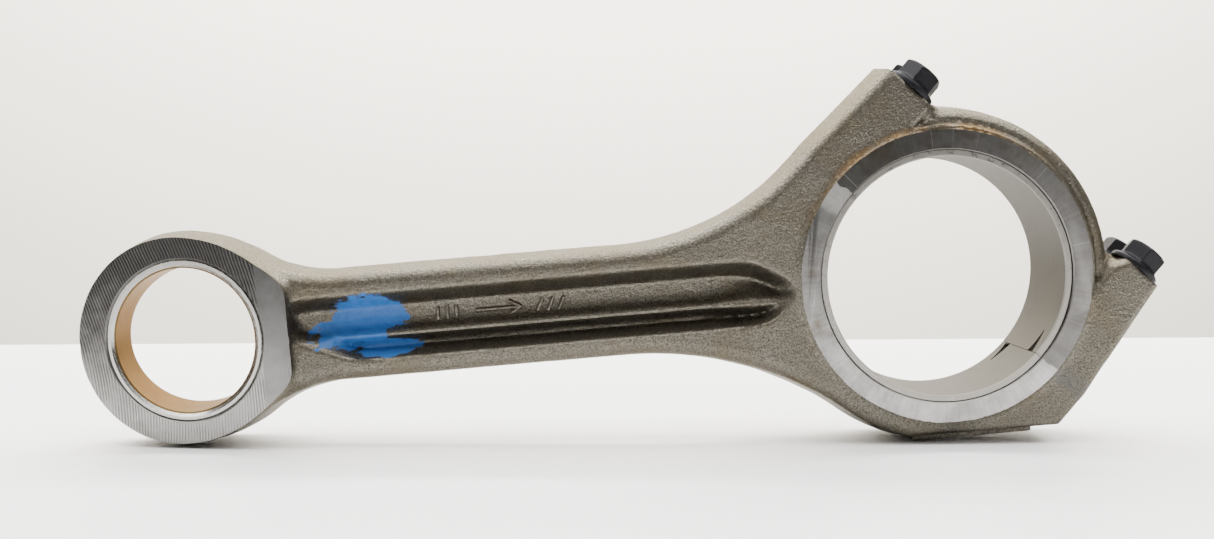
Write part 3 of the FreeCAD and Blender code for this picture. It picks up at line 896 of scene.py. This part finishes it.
BOLTS = [    # body, side of the bore, seat height, place along the bore, roll in degrees
    ("upper_front_bolt", -1, UPPER_SEAT, -BOLT_OFFSET, 10),
    ("upper_rear_bolt", -1, UPPER_SEAT, BOLT_OFFSET, 24),
    ("lower_front_bolt", 1, LOWER_SEAT, -BOLT_OFFSET, 15),
    ("lower_rear_bolt", 1, LOWER_SEAT, BOLT_OFFSET, 33),
]


def make_bolts(finish):
    blank = bolt_blank()
    tree = bolt_tree(finish)
    bodies = frame["record"]["behaviour"]["bodies"]
    for body, side, seat, y, roll in BOLTS:
        place = at_split(side * BOLT_ROW, seat)
        bolt = grown(copied(blank, body), tree, {
            "Core Radius": THREAD_CORE, "Pitch": THREAD_PITCH, "Thread Length": THREAD_LENGTH,
            "Bolt Length": BOLT_LENGTH, "Roll": radians(roll), "Lean": pi / 2 - SPLIT,
            "Seat": (place.real, y, place.imag),
        })
        finish_piece(bolt, body + "_steel", body, bodies[body], crease=50)
    bpy.data.objects.remove(blank)


def half_ring(name, rows, cap_side):
    """Half a ring that ends on the parting line."""
    middle = SPLIT if cap_side > 0 else SPLIT + pi
    hair = 0.12 / HOUSING
    return tool(*turned(rows, ring=True, span=(middle - pi / 2 + hair, middle + pi / 2 - hair)), name)


def lug_dimple(y, cap_side, inner, outer, length=9.5, half=2.6):
    """The wedge that pressing the lug out leaves inside a shell, widest at the parting face."""
    points = []
    for t in (inner, outer):
        for n, across in ((-1.0, -half), (-1.0, half), (length, 0.25), (length, -0.25)):
            place = at_split(t, cap_side * n)
            points.append((place.real, y + across, place.imag))
    faces = [(0, 1, 2, 3), (7, 6, 5, 4), (0, 4, 5, 1), (1, 5, 6, 2), (2, 6, 7, 3), (3, 7, 4, 0)]
    if cap_side > 0:
        faces = [face[::-1] for face in faces]
    return tool(points, faces)


def make_shell(cap_side, body, back_finish, lining_finish):
    inner, edge, chamfer = CRANKPIN_BORE + SHELL_LINING, SHELL_HALF_WIDTH, 0.35
    outer = HOUSING + 0.03
    back = half_ring("back", [
        (outer - chamfer, -edge), (outer, chamfer - edge), (outer, edge - chamfer),
        (outer - chamfer, edge), (inner, edge), (inner, -edge),
    ], cap_side)
    lug_end, lug_foot, hair = cap_side * LUG_LENGTH, HOUSING - 1.4, cap_side * 0.03
    corners = [at_split(t, n) for t, n in (
        (lug_foot, hair), (HOUSING + LUG_RISE, hair), (HOUSING + 0.9, 0.8 * lug_end), (lug_foot, lug_end),
    )]
    y = -cap_side * LUG_PLACE
    cuts = [("UNION", tool(*prism(corners, y - LUG_HALF, y + LUG_HALF)))]
    nick = lug_dimple(y, cap_side, inner - 4, HOUSING - 0.5)
    lining = half_ring("lining", [
        (inner, -edge), (inner, edge), (CRANKPIN_BORE + 0.35, edge), (CRANKPIN_BORE, edge - 0.5),
        (CRANKPIN_BORE, 0.5 - edge), (CRANKPIN_BORE + 0.35, -edge),
    ], cap_side)
    lining_cuts = [("DIFFERENCE", copied(nick, "nick"))]
    cuts.append(("DIFFERENCE", nick))
    if cap_side < 0:
        cuts.append(("DIFFERENCE", oil_gallery()))
        lining_cuts.append(("DIFFERENCE", oil_gallery()))
    worked(back, cuts)
    worked(lining, lining_cuts)
    coat(back, back_finish)
    coat(lining, lining_finish)
    finish_piece(back, body + "_steel_back", body, [body + "_back"], 30)
    finish_piece(lining, body + "_bearing_face", body, [body + "_lining"], 30)


def make_bush(steel_finish, bronze_finish):
    """The two layers of the pressed bush, sharing one wide chamfer at the mouth."""
    joint = PIN_BORE + BUSH_LINING
    chamfer = [(PIN_BORE, BUSH_INSET + 1.4), (joint, BUSH_INSET + 0.9)]
    outside = [
        (joint, BUSH_INSET + 0.9), (joint + 1.0, BUSH_INSET),
        (BUSH_SEAT - 0.35, BUSH_INSET), (BUSH_SEAT, BUSH_INSET + 0.35),
    ]
    steel = tool(*turned(mouths(outside, small_end_face), -CENTRE_DISTANCE, ring=True), "steel")
    bronze = tool(*turned(mouths(chamfer, small_end_face), -CENTRE_DISTANCE, ring=True), "bronze")
    for piece, finish, name, cad_node, slot in (
        (steel, steel_finish, "bush_steel_back", "bush_back", "bush_steel"),
        (bronze, bronze_finish, "bush_bronze_lining", "bush_lining", "bush_bronze"),
    ):
        worked(piece, [("DIFFERENCE", oil_gallery())])
        coat(piece, finish)
        finish_piece(piece, name, "rod", [cad_node], 30)


# ---- raised mark on the web ----
MARK_LEVEL = -WEB_HALF - 0.25
MARK_Z = 1.3
MARK_RADIUS = 0.75
BAR_HALF = 2.4
BAR_SLANT = 2.2
UPRIGHT_BARS = (-188.0, -184.5, -181.0)
SLANTED_BARS = (-151.0, -147.0, -143.0)
ARROW = (-174.0, -157.0)
ARROW_HEAD = (4.5, 2.6)


def mark_tree(finish):
    """Turns a drawing of straight strokes into raised, round-topped ridges."""
    tree, given, out = node_group("raised_mark", "Geometry", {
        "Geometry": "Geometry", "Stroke Radius": "Float",
    }, {"Geometry": "Geometry"})
    path = node(tree, "GeometryNodeMeshToCurve", {0: given["Geometry"]})
    profile = node(tree, "GeometryNodeCurvePrimitiveCircle", {
        "Resolution": 12, "Radius": given["Stroke Radius"],
    })
    ridge = node(tree, "GeometryNodeCurveToMesh", {
        "Curve": path, "Profile Curve": profile, "Fill Caps": True,
    })
    feed(out[0], single_piece(ridge, finish))
    return tree


def make_mark(finish):
    """A direction arrow between two groups of plain bars, raised from the forged web."""
    low, high = MARK_Z - BAR_HALF, MARK_Z + BAR_HALF
    tail, tip = ARROW
    back, spread = ARROW_HEAD
    strokes = [((x, low), (x, high)) for x in UPRIGHT_BARS]
    strokes += [((tail, MARK_Z), (tip, MARK_Z))]
    strokes += [((tip - back, MARK_Z + way * spread), (tip, MARK_Z)) for way in (-1, 1)]
    strokes += [((x, low), (x + BAR_SLANT, high)) for x in SLANTED_BARS]
    points = [(x, MARK_LEVEL, z) for stroke in strokes for x, z in stroke]
    mesh = bpy.data.meshes.new("mark")
    mesh.from_pydata(points, [(2 * i, 2 * i + 1) for i in range(len(strokes))], [])
    mark = grown(linked("mark", mesh), mark_tree(finish), {"Stroke Radius": MARK_RADIUS})
    finish_piece(mark, "direction_mark", "rod", [], 60)


# ---- colours and patterns of the finishes ----
FORGED_DARK = (0.062, 0.056, 0.045)
FORGED_LIGHT = (0.175, 0.162, 0.134)
FORGED_WARM = (0.105, 0.084, 0.052)
SEAM_GREY = (0.10, 0.098, 0.095)
# Colour of the painted highlight on the upper side of the fillet round the thrust ring.
FILLET_GLINT_GOLD = (0.22, 0.13, 0.05)
PAINT_THIN = (0.014, 0.08, 0.27)
PAINT_THICK = (0.04, 0.15, 0.42)
ROD_RING = (0.44, 0.43, 0.415)
ROD_RING_STAIN = (0.12, 0.08, 0.045)
CAP_RING = (0.20, 0.195, 0.187)
CAP_RING_STAIN = (0.055, 0.045, 0.033)
SCRATCH = (0.45, 0.44, 0.42)
# Colour pairs of the milled sides for a painted reflection, dim towards the top and bright towards the
# bottom; valleys and crests of the cutter marks also get painted shade.
TAPER_VALLEYS = (0.022, 0.0215, 0.021), (0.16, 0.156, 0.15)      # dim side, bright side
TAPER_CRESTS = (0.07, 0.068, 0.066), (0.38, 0.372, 0.36)
FLAT_STEEL = (0.075, 0.074, 0.072), (0.21, 0.207, 0.203)
MILLED_STAIN = (0.09, 0.087, 0.083)
BORED_STEEL = (0.20, 0.195, 0.185)
SEAT_STEEL = (0.28, 0.27, 0.26)
SHELL_BACK = (0.34, 0.325, 0.30)
BUSH_BACK = (0.45, 0.44, 0.42)
BROKEN_STEEL = (0.16, 0.155, 0.15), (0.50, 0.49, 0.47)
ALLOY = (0.042, 0.039, 0.032), (0.08, 0.075, 0.064)
ALLOY_STAIN = (0.045, 0.041, 0.034)
ALLOY_CUT = (0.46, 0.44, 0.40)
BRONZE = (0.085, 0.055, 0.021), (0.155, 0.106, 0.048)
BRONZE_STAIN = (0.085, 0.046, 0.014)
BLACK_OXIDE = (0.006, 0.006, 0.007), (0.022, 0.022, 0.024)
TURNED_GRAIN = (0.4, 2.5, 0.4)             # stretch of the fine lines in both bores
PAINT_DAUBS = [           # centre x and z, half length, half height
    (-213.0, 3.0, 13.5, 8.0), (-220.0, -3.0, 14.0, 6.0), (-206.5, -9.3, 11.5, 3.0),
]


def shaded(colour, share):
    return tuple(share * c for c in colour)


# ---- patterns that several finishes share ----
def use(tree, group, inputs=None):
    """The outputs of a shader group with these inputs, by name."""
    made = tree.nodes.new("ShaderNodeGroup")
    made.node_tree = group
    for key, value in (inputs or {}).items():
        feed(made.inputs[key], value)
    return {socket.name: Flow(tree, socket) for socket in made.outputs}


def rod_position_group():
    """Place on the rod in its own millimetres, and its distance and direction from the big bore."""
    tree, _, out = node_group("rod_position", "Shader", {}, {
        "Place": "Vector", "From Big Bore": "Float", "Round Place": "Vector",
    })
    place = node(tree, "ShaderNodeMapping", {
        "Vector": node(tree, "ShaderNodeTexCoord", out="Object"),
        "Rotation": (0, STANCE, 0), "Scale": (1 / MM, 1 / MM, 1 / MM),
    })
    across = node(tree, "ShaderNodeCombineXYZ", {0: place.part(0), 2: place.part(2)})
    feed(out["Place"], place)
    feed(out["From Big Bore"], across.length())
    feed(out["Round Place"], across.vector("NORMALIZE"))
    return tree


def forged_grain_group():
    """Blasted forging: fine facets, shallow pits and slow changes of colour."""
    tree, given, out = node_group("forged_grain", "Shader", {"Place": "Vector", "Facet": "Float"}, {
        "Height": "Float", "Tone": "Float", "Patches": "Float",
    })
    place, per_mm = given["Place"], 1.0 / given["Facet"]
    facets = place.noise(per_mm, 2.0, 0.6)
    coarse = place.noise(per_mm * 0.37, 2.0, 0.5)
    cells = node(tree, "ShaderNodeTexVoronoi", {"Vector": place, "Scale": per_mm * 0.5}, "Distance")
    pits = cells.between(0.05, 0.42)
    feed(out["Height"], facets * 0.6 + coarse * 0.9 + pits * 0.35)
    feed(out["Tone"], place.noise(per_mm * 0.8, 3.0, 0.7))
    feed(out["Patches"], place.noise(0.045, 4.0, 0.6))
    return tree


def stain_group():
    """Soft-edged stains with a finer ragged edge, 0 where clean."""
    tree, given, out = node_group("stains", "Shader", {
        "Place": "Vector", "Size": "Float", "Cover": "Float",
    }, {"Mask": "Float"})
    broad = given["Place"].noise(1.0 / given["Size"], 5.0, 0.62)
    wide = broad - (0.72 - given["Cover"] * 0.5)
    feed(out["Mask"], wide.between(-0.04, 0.16))
    return tree


def tool_mark_group():
    """Fine parallel lines of a cutter that swings about a far point."""
    tree, given, out = node_group("tool_marks", "Shader", {
        "Place": "Vector", "Pivot": "Vector", "Pitch": "Float",
    }, {"Height": "Float", "Shade": "Float"})
    place = given["Place"]
    reach = place.vector("SUBTRACT", given["Pivot"]).vector("MULTIPLY", (1, 0, 1)).length()
    wobble = place.noise(0.08, 2.0) * 0.9
    wave = ((reach + wobble) / given["Pitch"] * (2 * pi)).math("SINE")
    fine = (reach * 6.0).along(0).noise(1.0, 2.0)
    feed(out["Height"], wave + fine * 0.8)
    feed(out["Shade"], fine)
    return tree


# ---- finishes ----
class Finishes:
    """The materials, made once. Each takes its patterns from the place on the rod."""

    def __init__(self):
        self.position = rod_position_group()
        self.grain = forged_grain_group()
        self.stains = stain_group()
        self.marks = tool_mark_group()
        self.forged = self.make_forged("forged_steel", False)
        self.painted = self.make_forged("forged_steel_painted", True)
        self.rod_ring = self.make_ring(
            "thrust_face_rod", ROD_RING, ROD_RING_STAIN, 0.30, (0.25, 0, -0.97), bright_end=True)
        self.cap_ring = self.make_ring(
            "thrust_face_cap", CAP_RING, CAP_RING_STAIN, 0.50, (0.9, 0, -0.44), bright_end=False)
        self.milled = self.make_milled()
        self.bore = self.make_turned("bored_steel", BORED_STEEL, 0.35, 0.6)
        self.seat = self.make_turned("machined_seat", SEAT_STEEL, 0.38, 0.9)
        self.fracture = self.make_fracture()
        self.shell_steel = self.make_turned("shell_back_steel", SHELL_BACK, 0.30, 0.5)
        self.lining = self.make_lining()
        self.bush_steel = self.make_turned("bush_back_steel", BUSH_BACK, 0.22, 0.5)
        self.bronze = self.make_bronze()
        self.black = self.make_black()

    def start(self, name, metallic, roughness):
        """A new material with its shader, and the place on the rod."""
        material = bpy.data.materials.new(name)
        material.use_nodes = True
        shader = material.node_tree.nodes["Principled BSDF"]
        shader.inputs["Metallic"].default_value = metallic
        shader.inputs["Roughness"].default_value = roughness
        return material, shader, use(material.node_tree, self.position)

    def end(self, material, colour, rough, height, depth, grazing=None):
        """Feeds the shader its patterns; grazing is the tint of its reflections at low angles."""
        shader = material.node_tree.nodes["Principled BSDF"]
        feed(shader.inputs["Base Color"], colour)
        feed(shader.inputs["Roughness"], rough)
        feed(shader.inputs["Normal"], node(material.node_tree, "ShaderNodeBump", {
            "Strength": 1.0, "Distance": depth * MM, "Height": height,
        }))
        if grazing:
            shader.inputs["Specular Tint"].default_value = (*grazing, 1)
        return material

    def stain(self, place, size, cover):
        return use(place.tree, self.stains, {"Place": place, "Size": size, "Cover": cover})["Mask"]

    def make_forged(self, name, painted):
        material, shader, where = self.start(name, 0.9, 0.42)
        place, from_bore = where["Place"], where["From Big Bore"]
        grain = use(place.tree, self.grain, {"Place": place, "Facet": 0.5})
        colour = grain["Tone"].between(0.3, 0.7).blend(FORGED_DARK, FORGED_LIGHT)
        colour = (grain["Patches"].between(0.45, 0.68) * 0.45).blend(colour, FORGED_WARM)
        colour = self.seam_smear(place, from_bore).blend(colour, SEAM_GREY)
        # Painted highlight: a gold glint on the upper side of the fillet round the thrust ring, where the
        # light from above falls.
        near_ring = (from_bore - (THRUST_RING + 0.3)).between(3.4, 1.2)
        upper = where["Round Place"].dot((-0.2, 0, 0.98)).between(0.5, 0.95)
        fillet_glint = near_ring * grain["Patches"].between(0.35, 0.6) * (upper * 0.6)
        colour = fillet_glint.blend(colour, FILLET_GLINT_GOLD)
        height = grain["Height"]
        if painted:
            mask = self.paint_mask(place)
            colour = mask.blend(colour, place.noise(0.35, 3.0).blend(PAINT_THIN, PAINT_THICK))
            feed(shader.inputs["Metallic"], 0.9 - mask * 0.9)
            height = height * (1.0 - mask * 0.7) + mask * 0.5
        rough = grain["Tone"].between(0.25, 0.75, 0.48, 0.26)
        return self.end(material, colour, rough, height, 0.26, (0.5, 0.48, 0.44))

    def seam_smear(self, place, from_bore):
        """Dark smears on the forging along the parting line."""
        close = place.dot((LIFT_WAY.real, 0, LIFT_WAY.imag)).math("ABSOLUTE").between(5.5, 0.5)
        lower = place.dot((SEAM_WAY.real, 0, SEAM_WAY.imag)).between(30.0, 50.0, 0.25, 1.0)
        outside = from_bore.between(THRUST_RING, THRUST_RING + 2)
        return self.stain(place, 3.2, 0.62) * close * lower * (outside * 0.8)

    def paint_mask(self, place):
        """A daub of paint, ragged and streaky at its edges."""
        reach = 9.0
        for x, z, long, tall in PAINT_DAUBS:
            centred = node(place.tree, "ShaderNodeMapping", {
                "Vector": place, "Location": (-x / long, 0, -z / tall), "Scale": (1 / long, 0, 1 / tall),
            })
            reach = centred.length().math("MINIMUM", reach)
        ragged = place.noise(0.16, 5.0, 0.6, (1.0, 0.2, 1.6))
        streak = place.noise(0.5, 3.0, 0.6, (0.35, 0.2, 1.6))
        edge = reach + (ragged * 1.1 + streak * 0.7 - 0.93)
        return edge.between(1.0, 0.93) * place.part(1).between(-1.0, -2.0)

    def make_ring(self, name, clean, stained, cover, bright_way, bright_end):
        """Ground thrust face: turning lines, a few radial scratches and stains, and a painted reflection
        that lightens the side towards bright_way.
        bright_end also paints a highlight on the face close to the parting line's upper end."""
        material, _, where = self.start(name, 1.0, 0.32)
        place, facing = where["Place"], where["Round Place"]
        polar = facing.vector("MULTIPLY", (46.0, 46.0, 46.0))
        rings = (where["From Big Bore"] * 3.2).along(0).noise(1.0, 3.0, 0.6)
        smudge = place.noise(0.14, 4.0, 0.6)
        # Painted reflection: clear is 1 towards bright_way, and away from it the colour falls to darker
        # copies of the clean colour (high and low); the stains are kept mostly off the lighter side.
        clear = (facing.dot(bright_way) + smudge * 0.6).between(-0.5, 1.2)
        # Painted highlight: bright_end lightens the face near the parting line's upper end.
        if bright_end:
            toward = facing.dot((-SEAM_WAY.real, 0, -SEAM_WAY.imag)) + smudge * 0.02
            clear = clear.math("MAXIMUM", toward.between(0.985, 0.999))
        streaks = polar.noise(0.8, 3.0, 0.6) * 0.3 + rings * 0.3 + smudge * 0.4
        high = clear.blend(shaded(clean, 0.45), clean)
        low = clear.blend(shaded(clean, 0.27), shaded(clean, 0.68))
        colour = streaks.between(0.36, 0.64).blend(low, high)
        scratch = polar.noise(1.6, 1.0, 0.4).between(0.70, 0.74) * 0.35
        colour = scratch.blend(colour, SCRATCH)
        dirty = self.stain(place, 13.0, cover) * clear.between(0.9, 0.3, 0.1, 0.7)
        rough = streaks.between(0.35, 0.65, 0.40, 0.27)
        colour = dirty.blend(colour, stained)
        return self.end(material, colour, rough, streaks, 0.04, (0.7, 0.69, 0.67))

    def make_milled(self):
        """Both small-end sides: cutter marks on the tapers, nearly plain on the flats."""
        material, _, where = self.start("milled_small_end", 1.0, 0.3)
        place = where["Place"]
        pivot = (-CENTRE_DISTANCE - 160.0, 0, -20.0)
        marks = use(place.tree, self.marks, {"Place": place, "Pivot": pivot, "Pitch": 1.1})
        taper = place.part(0).between(FOLD + 0.2, FOLD - 0.2)
        uneven = place.noise(0.12, 3.0).between(0.36, 0.62, 0.25, 1.1)
        # Painted shade: shade makes the cutter-mark valleys darker and the crests lighter. Painted
        # reflection: clear makes the milled sides darker towards the top and lighter towards the bottom.
        shade = marks["Height"].between(-0.6, 1.7, -0.5, 0.5) * uneven + 0.5
        swing = (place.noise(0.06, 4.0, 0.6) - 0.5) * 50.0
        clear = (place.part(2) + swing).between(26.0, -30.0)
        tapered = shade.blend(clear.blend(*TAPER_VALLEYS), clear.blend(*TAPER_CRESTS))
        colour = taper.blend(clear.blend(*FLAT_STEEL), tapered)
        colour = (self.stain(place, 14.0, 0.35) * 0.35).blend(colour, MILLED_STAIN)
        rough = marks["Shade"].between(0.2, 0.8, 0.24, 0.36)
        height = marks["Height"] * (taper * 0.9 + 0.1)
        return self.end(material, colour, rough, height, 0.07, (0.5, 0.49, 0.475))

    def make_turned(self, name, colour, roughness, strength):
        """Plain machined steel with fine turning lines."""
        material, _, where = self.start(name, 1.0, roughness)
        fine = where["Place"].noise(1.2, 3.0, 0.6, (0.3, 3.0, 0.3))
        rough = fine.between(0.25, 0.75, roughness - 0.05, roughness + 0.08)
        return self.end(material, fine.blend(shaded(colour, 0.75), colour), rough, fine, 0.04 * strength)

    def make_fracture(self):
        material, _, where = self.start("broken_steel", 0.9, 0.5)
        crystal = where["Place"].noise(2.2, 4.0, 0.7)
        rough = crystal.between(0.3, 0.7, 0.55, 0.3)
        return self.end(material, crystal.blend(*BROKEN_STEEL), rough, crystal, 0.4)

    def make_lining(self):
        """Matte bearing alloy, brighter where its very edge is cut."""
        material, _, where = self.start("bearing_alloy", 0.5, 0.45)
        place = where["Place"]
        fine = place.noise(0.8, 3.0, 0.6, TURNED_GRAIN)
        colour = (self.stain(place, 16.0, 0.4) * 0.3).blend(fine.blend(*ALLOY), ALLOY_STAIN)
        edge = place.part(1).math("ABSOLUTE").between(SHELL_HALF_WIDTH - 0.7, SHELL_HALF_WIDTH - 0.4)
        colour = (edge * 0.6).blend(colour, ALLOY_CUT)
        rough = fine.between(0.2, 0.8, 0.40, 0.52)
        return self.end(material, colour, rough, fine, 0.02, (0.33, 0.315, 0.28))

    def make_bronze(self):
        material, _, where = self.start("bush_bronze", 0.8, 0.33)
        place = where["Place"]
        fine = place.noise(0.9, 3.0, 0.6, TURNED_GRAIN)
        colour = (self.stain(place, 12.0, 0.5) * 0.5).blend(fine.blend(*BRONZE), BRONZE_STAIN)
        rough = fine.between(0.2, 0.8, 0.30, 0.40)
        return self.end(material, colour, rough, fine, 0.02, (0.5, 0.38, 0.24))

    def make_black(self):
        """Black oxide, a little worn and dusty."""
        material, shader, where = self.start("black_oxide", 0.55, 0.4)
        fine = where["Place"].noise(0.9, 4.0, 0.65)
        shader.inputs["Specular IOR Level"].default_value = 0.3
        rough = fine.between(0.3, 0.7, 0.32, 0.5)
        return self.end(material, fine.blend(*BLACK_OXIDE), rough, fine, 0.03, (0.4, 0.4, 0.42))


RING, MILLED, BORED, SEAT, BROKEN = range(1, 6)      # finishes of a forging; 0 is as forged


def coat_forging(piece, finishes, ring_finish, forged_finish):
    """Gives every face of a forged piece the finish that its place and direction call for."""
    mesh = piece.data
    count = len(mesh.polygons)
    centre, normal = np.empty(count * 3), np.empty(count * 3)
    mesh.polygons.foreach_get("center", centre)
    mesh.polygons.foreach_get("normal", normal)
    x, y, z = centre.reshape(-1, 3).T
    nx, ny, nz = normal.reshape(-1, 3).T
    t, n = split_place(x, z)
    lift = nx * LIFT_WAY.real + nz * LIFT_WAY.imag
    from_bore = np.hypot(x, z)
    from_pin = np.hypot(x + CENTRE_DISTANCE, z)
    on_side = abs(ny) > 0.9
    chosen = np.zeros(count, int)
    small_face = (x < FLAT_END + 0.5) & (abs(small_end_face(x) - abs(y)) < 0.05) & on_side
    chosen[small_face] = MILLED
    chosen[(abs(y) > HALF_WIDTH - 0.02) & (from_bore < THRUST_RING + 1)] = RING
    chosen[~on_side & ((from_bore < HOUSING + 0.35) | (from_pin < BUSH_SEAT + 0.72))] = BORED
    on_seat = (abs(n - UPPER_SEAT) < 0.05) | (abs(n - LOWER_SEAT) < 0.05)
    chosen[on_seat & (lift > 0.95) & (abs(t) > SEAT_EDGE)] = SEAT
    chosen[(abs(n) < 1.4) & (abs(lift) > 0.6) & (from_bore > HOUSING + 0.5) & ~on_side] = BROKEN
    machined = finishes.milled, finishes.bore, finishes.seat, finishes.fracture
    coat(piece, forged_finish, ring_finish, *machined)
    mesh.polygons.foreach_set("material_index", chosen)


# ---- studio ----
TABLE_EDGE = 0.31         # metres, as everything in the studio
WALL = 2.4
DAYLIGHT = (0.95, 0.93, 0.89)
DARK_ROOM = (0.055, 0.053, 0.05)


def stage_plane(name, corners, colour, roughness):
    made = linked(name, plain_mesh(name, corners, [range(len(corners))]))
    material = bpy.data.materials.new(name)
    material.use_nodes = True
    shader = material.node_tree.nodes["Principled BSDF"]
    shader.inputs["Base Color"].default_value = (*colour, 1)
    shader.inputs["Roughness"].default_value = roughness
    made.data.materials.append(material)


def area_light(name, place, target, size, power, colour):
    lamp = bpy.data.lights.new(name, "AREA")
    lamp.shape = "RECTANGLE"
    lamp.size, lamp.size_y = size
    lamp.energy = power
    lamp.color = colour
    made = linked(name, lamp)
    made.location = place
    made.rotation_euler = (Vector(target) - Vector(place)).to_track_quat("-Z", "Y").to_euler()


def make_studio():
    floor = cad_box[0].z
    stage_plane("table", [
        (-3, -3, floor), (3, -3, floor), (3, TABLE_EDGE, floor), (-3, TABLE_EDGE, floor),
    ], (0.90, 0.905, 0.92), 0.5)
    stage_plane("wall", [
        (-6, WALL, -2), (6, WALL, -2), (6, WALL, 4), (-6, WALL, 4),
    ], (0.84, 0.80, 0.725), 0.9)
    area_light("ceiling", (-0.1, 0.25, 1.4), (-0.12, 0.1, 0), (3.2, 1.8), 130.0, (1.0, 0.985, 0.96))
    area_light("front_fill", (-0.6, -1.5, 1.5), (-0.1, 0, 0), (0.9, 0.6), 5.0, (1.0, 0.99, 0.97))
    area_light("wall_wash", (0.0, 1.3, 1.6), (0.0, WALL, 0.2), (3.5, 0.8), 360.0, (1.0, 0.975, 0.93))


def make_world():
    """Daylight from behind and above, a dark room in front, and plain daylight to the camera."""
    world = bpy.data.worlds.new("room")
    world.use_nodes = True
    bpy.context.scene.world = world
    tree = world.node_tree
    way = node(tree, "ShaderNodeTexCoord", out="Generated")
    back = way.part(1).between(-0.5, 0.5)
    light = back.math("MAXIMUM", way.part(2).between(0.05, 0.8)) * 0.75
    light = light.math("MAXIMUM", node(tree, "ShaderNodeLightPath", out="Is Camera Ray"))
    background = tree.nodes["Background"]
    feed(background.inputs["Color"], light.blend(DARK_ROOM, DAYLIGHT))
    background.inputs["Strength"].default_value = 0.9


def make_camera():
    lens = bpy.data.cameras.new("camera")
    lens.lens = 39.089
    lens.sensor_width = 36.0
    lens.clip_start = 0.02
    made = linked("camera", lens)
    made.location = Vector((-139.718, -496.956, 34.084)) * MM
    made.rotation_euler = (radians(86.2952), radians(0.1411), radians(-1.7940))
    bpy.context.scene.camera = made


# ---- build ----
finishes = Finishes()
rod, cap = forged_pieces()
coat_forging(rod, finishes, finishes.rod_ring, finishes.painted)
coat_forging(cap, finishes, finishes.cap_ring, finishes.forged)
finish_piece(rod, "rod_forging", "rod", ["rod_body"])
finish_piece(cap, "cap_forging", "cap", ["bearing_cap"])
make_mark(finishes.forged)
make_shell(-1, "rod_shell", finishes.shell_steel, finishes.lining)
make_shell(1, "cap_shell", finishes.shell_steel, finishes.lining)
make_bush(finishes.bush_steel, finishes.bronze)
make_bolts(finishes.black)
make_studio()
make_world()
make_camera()
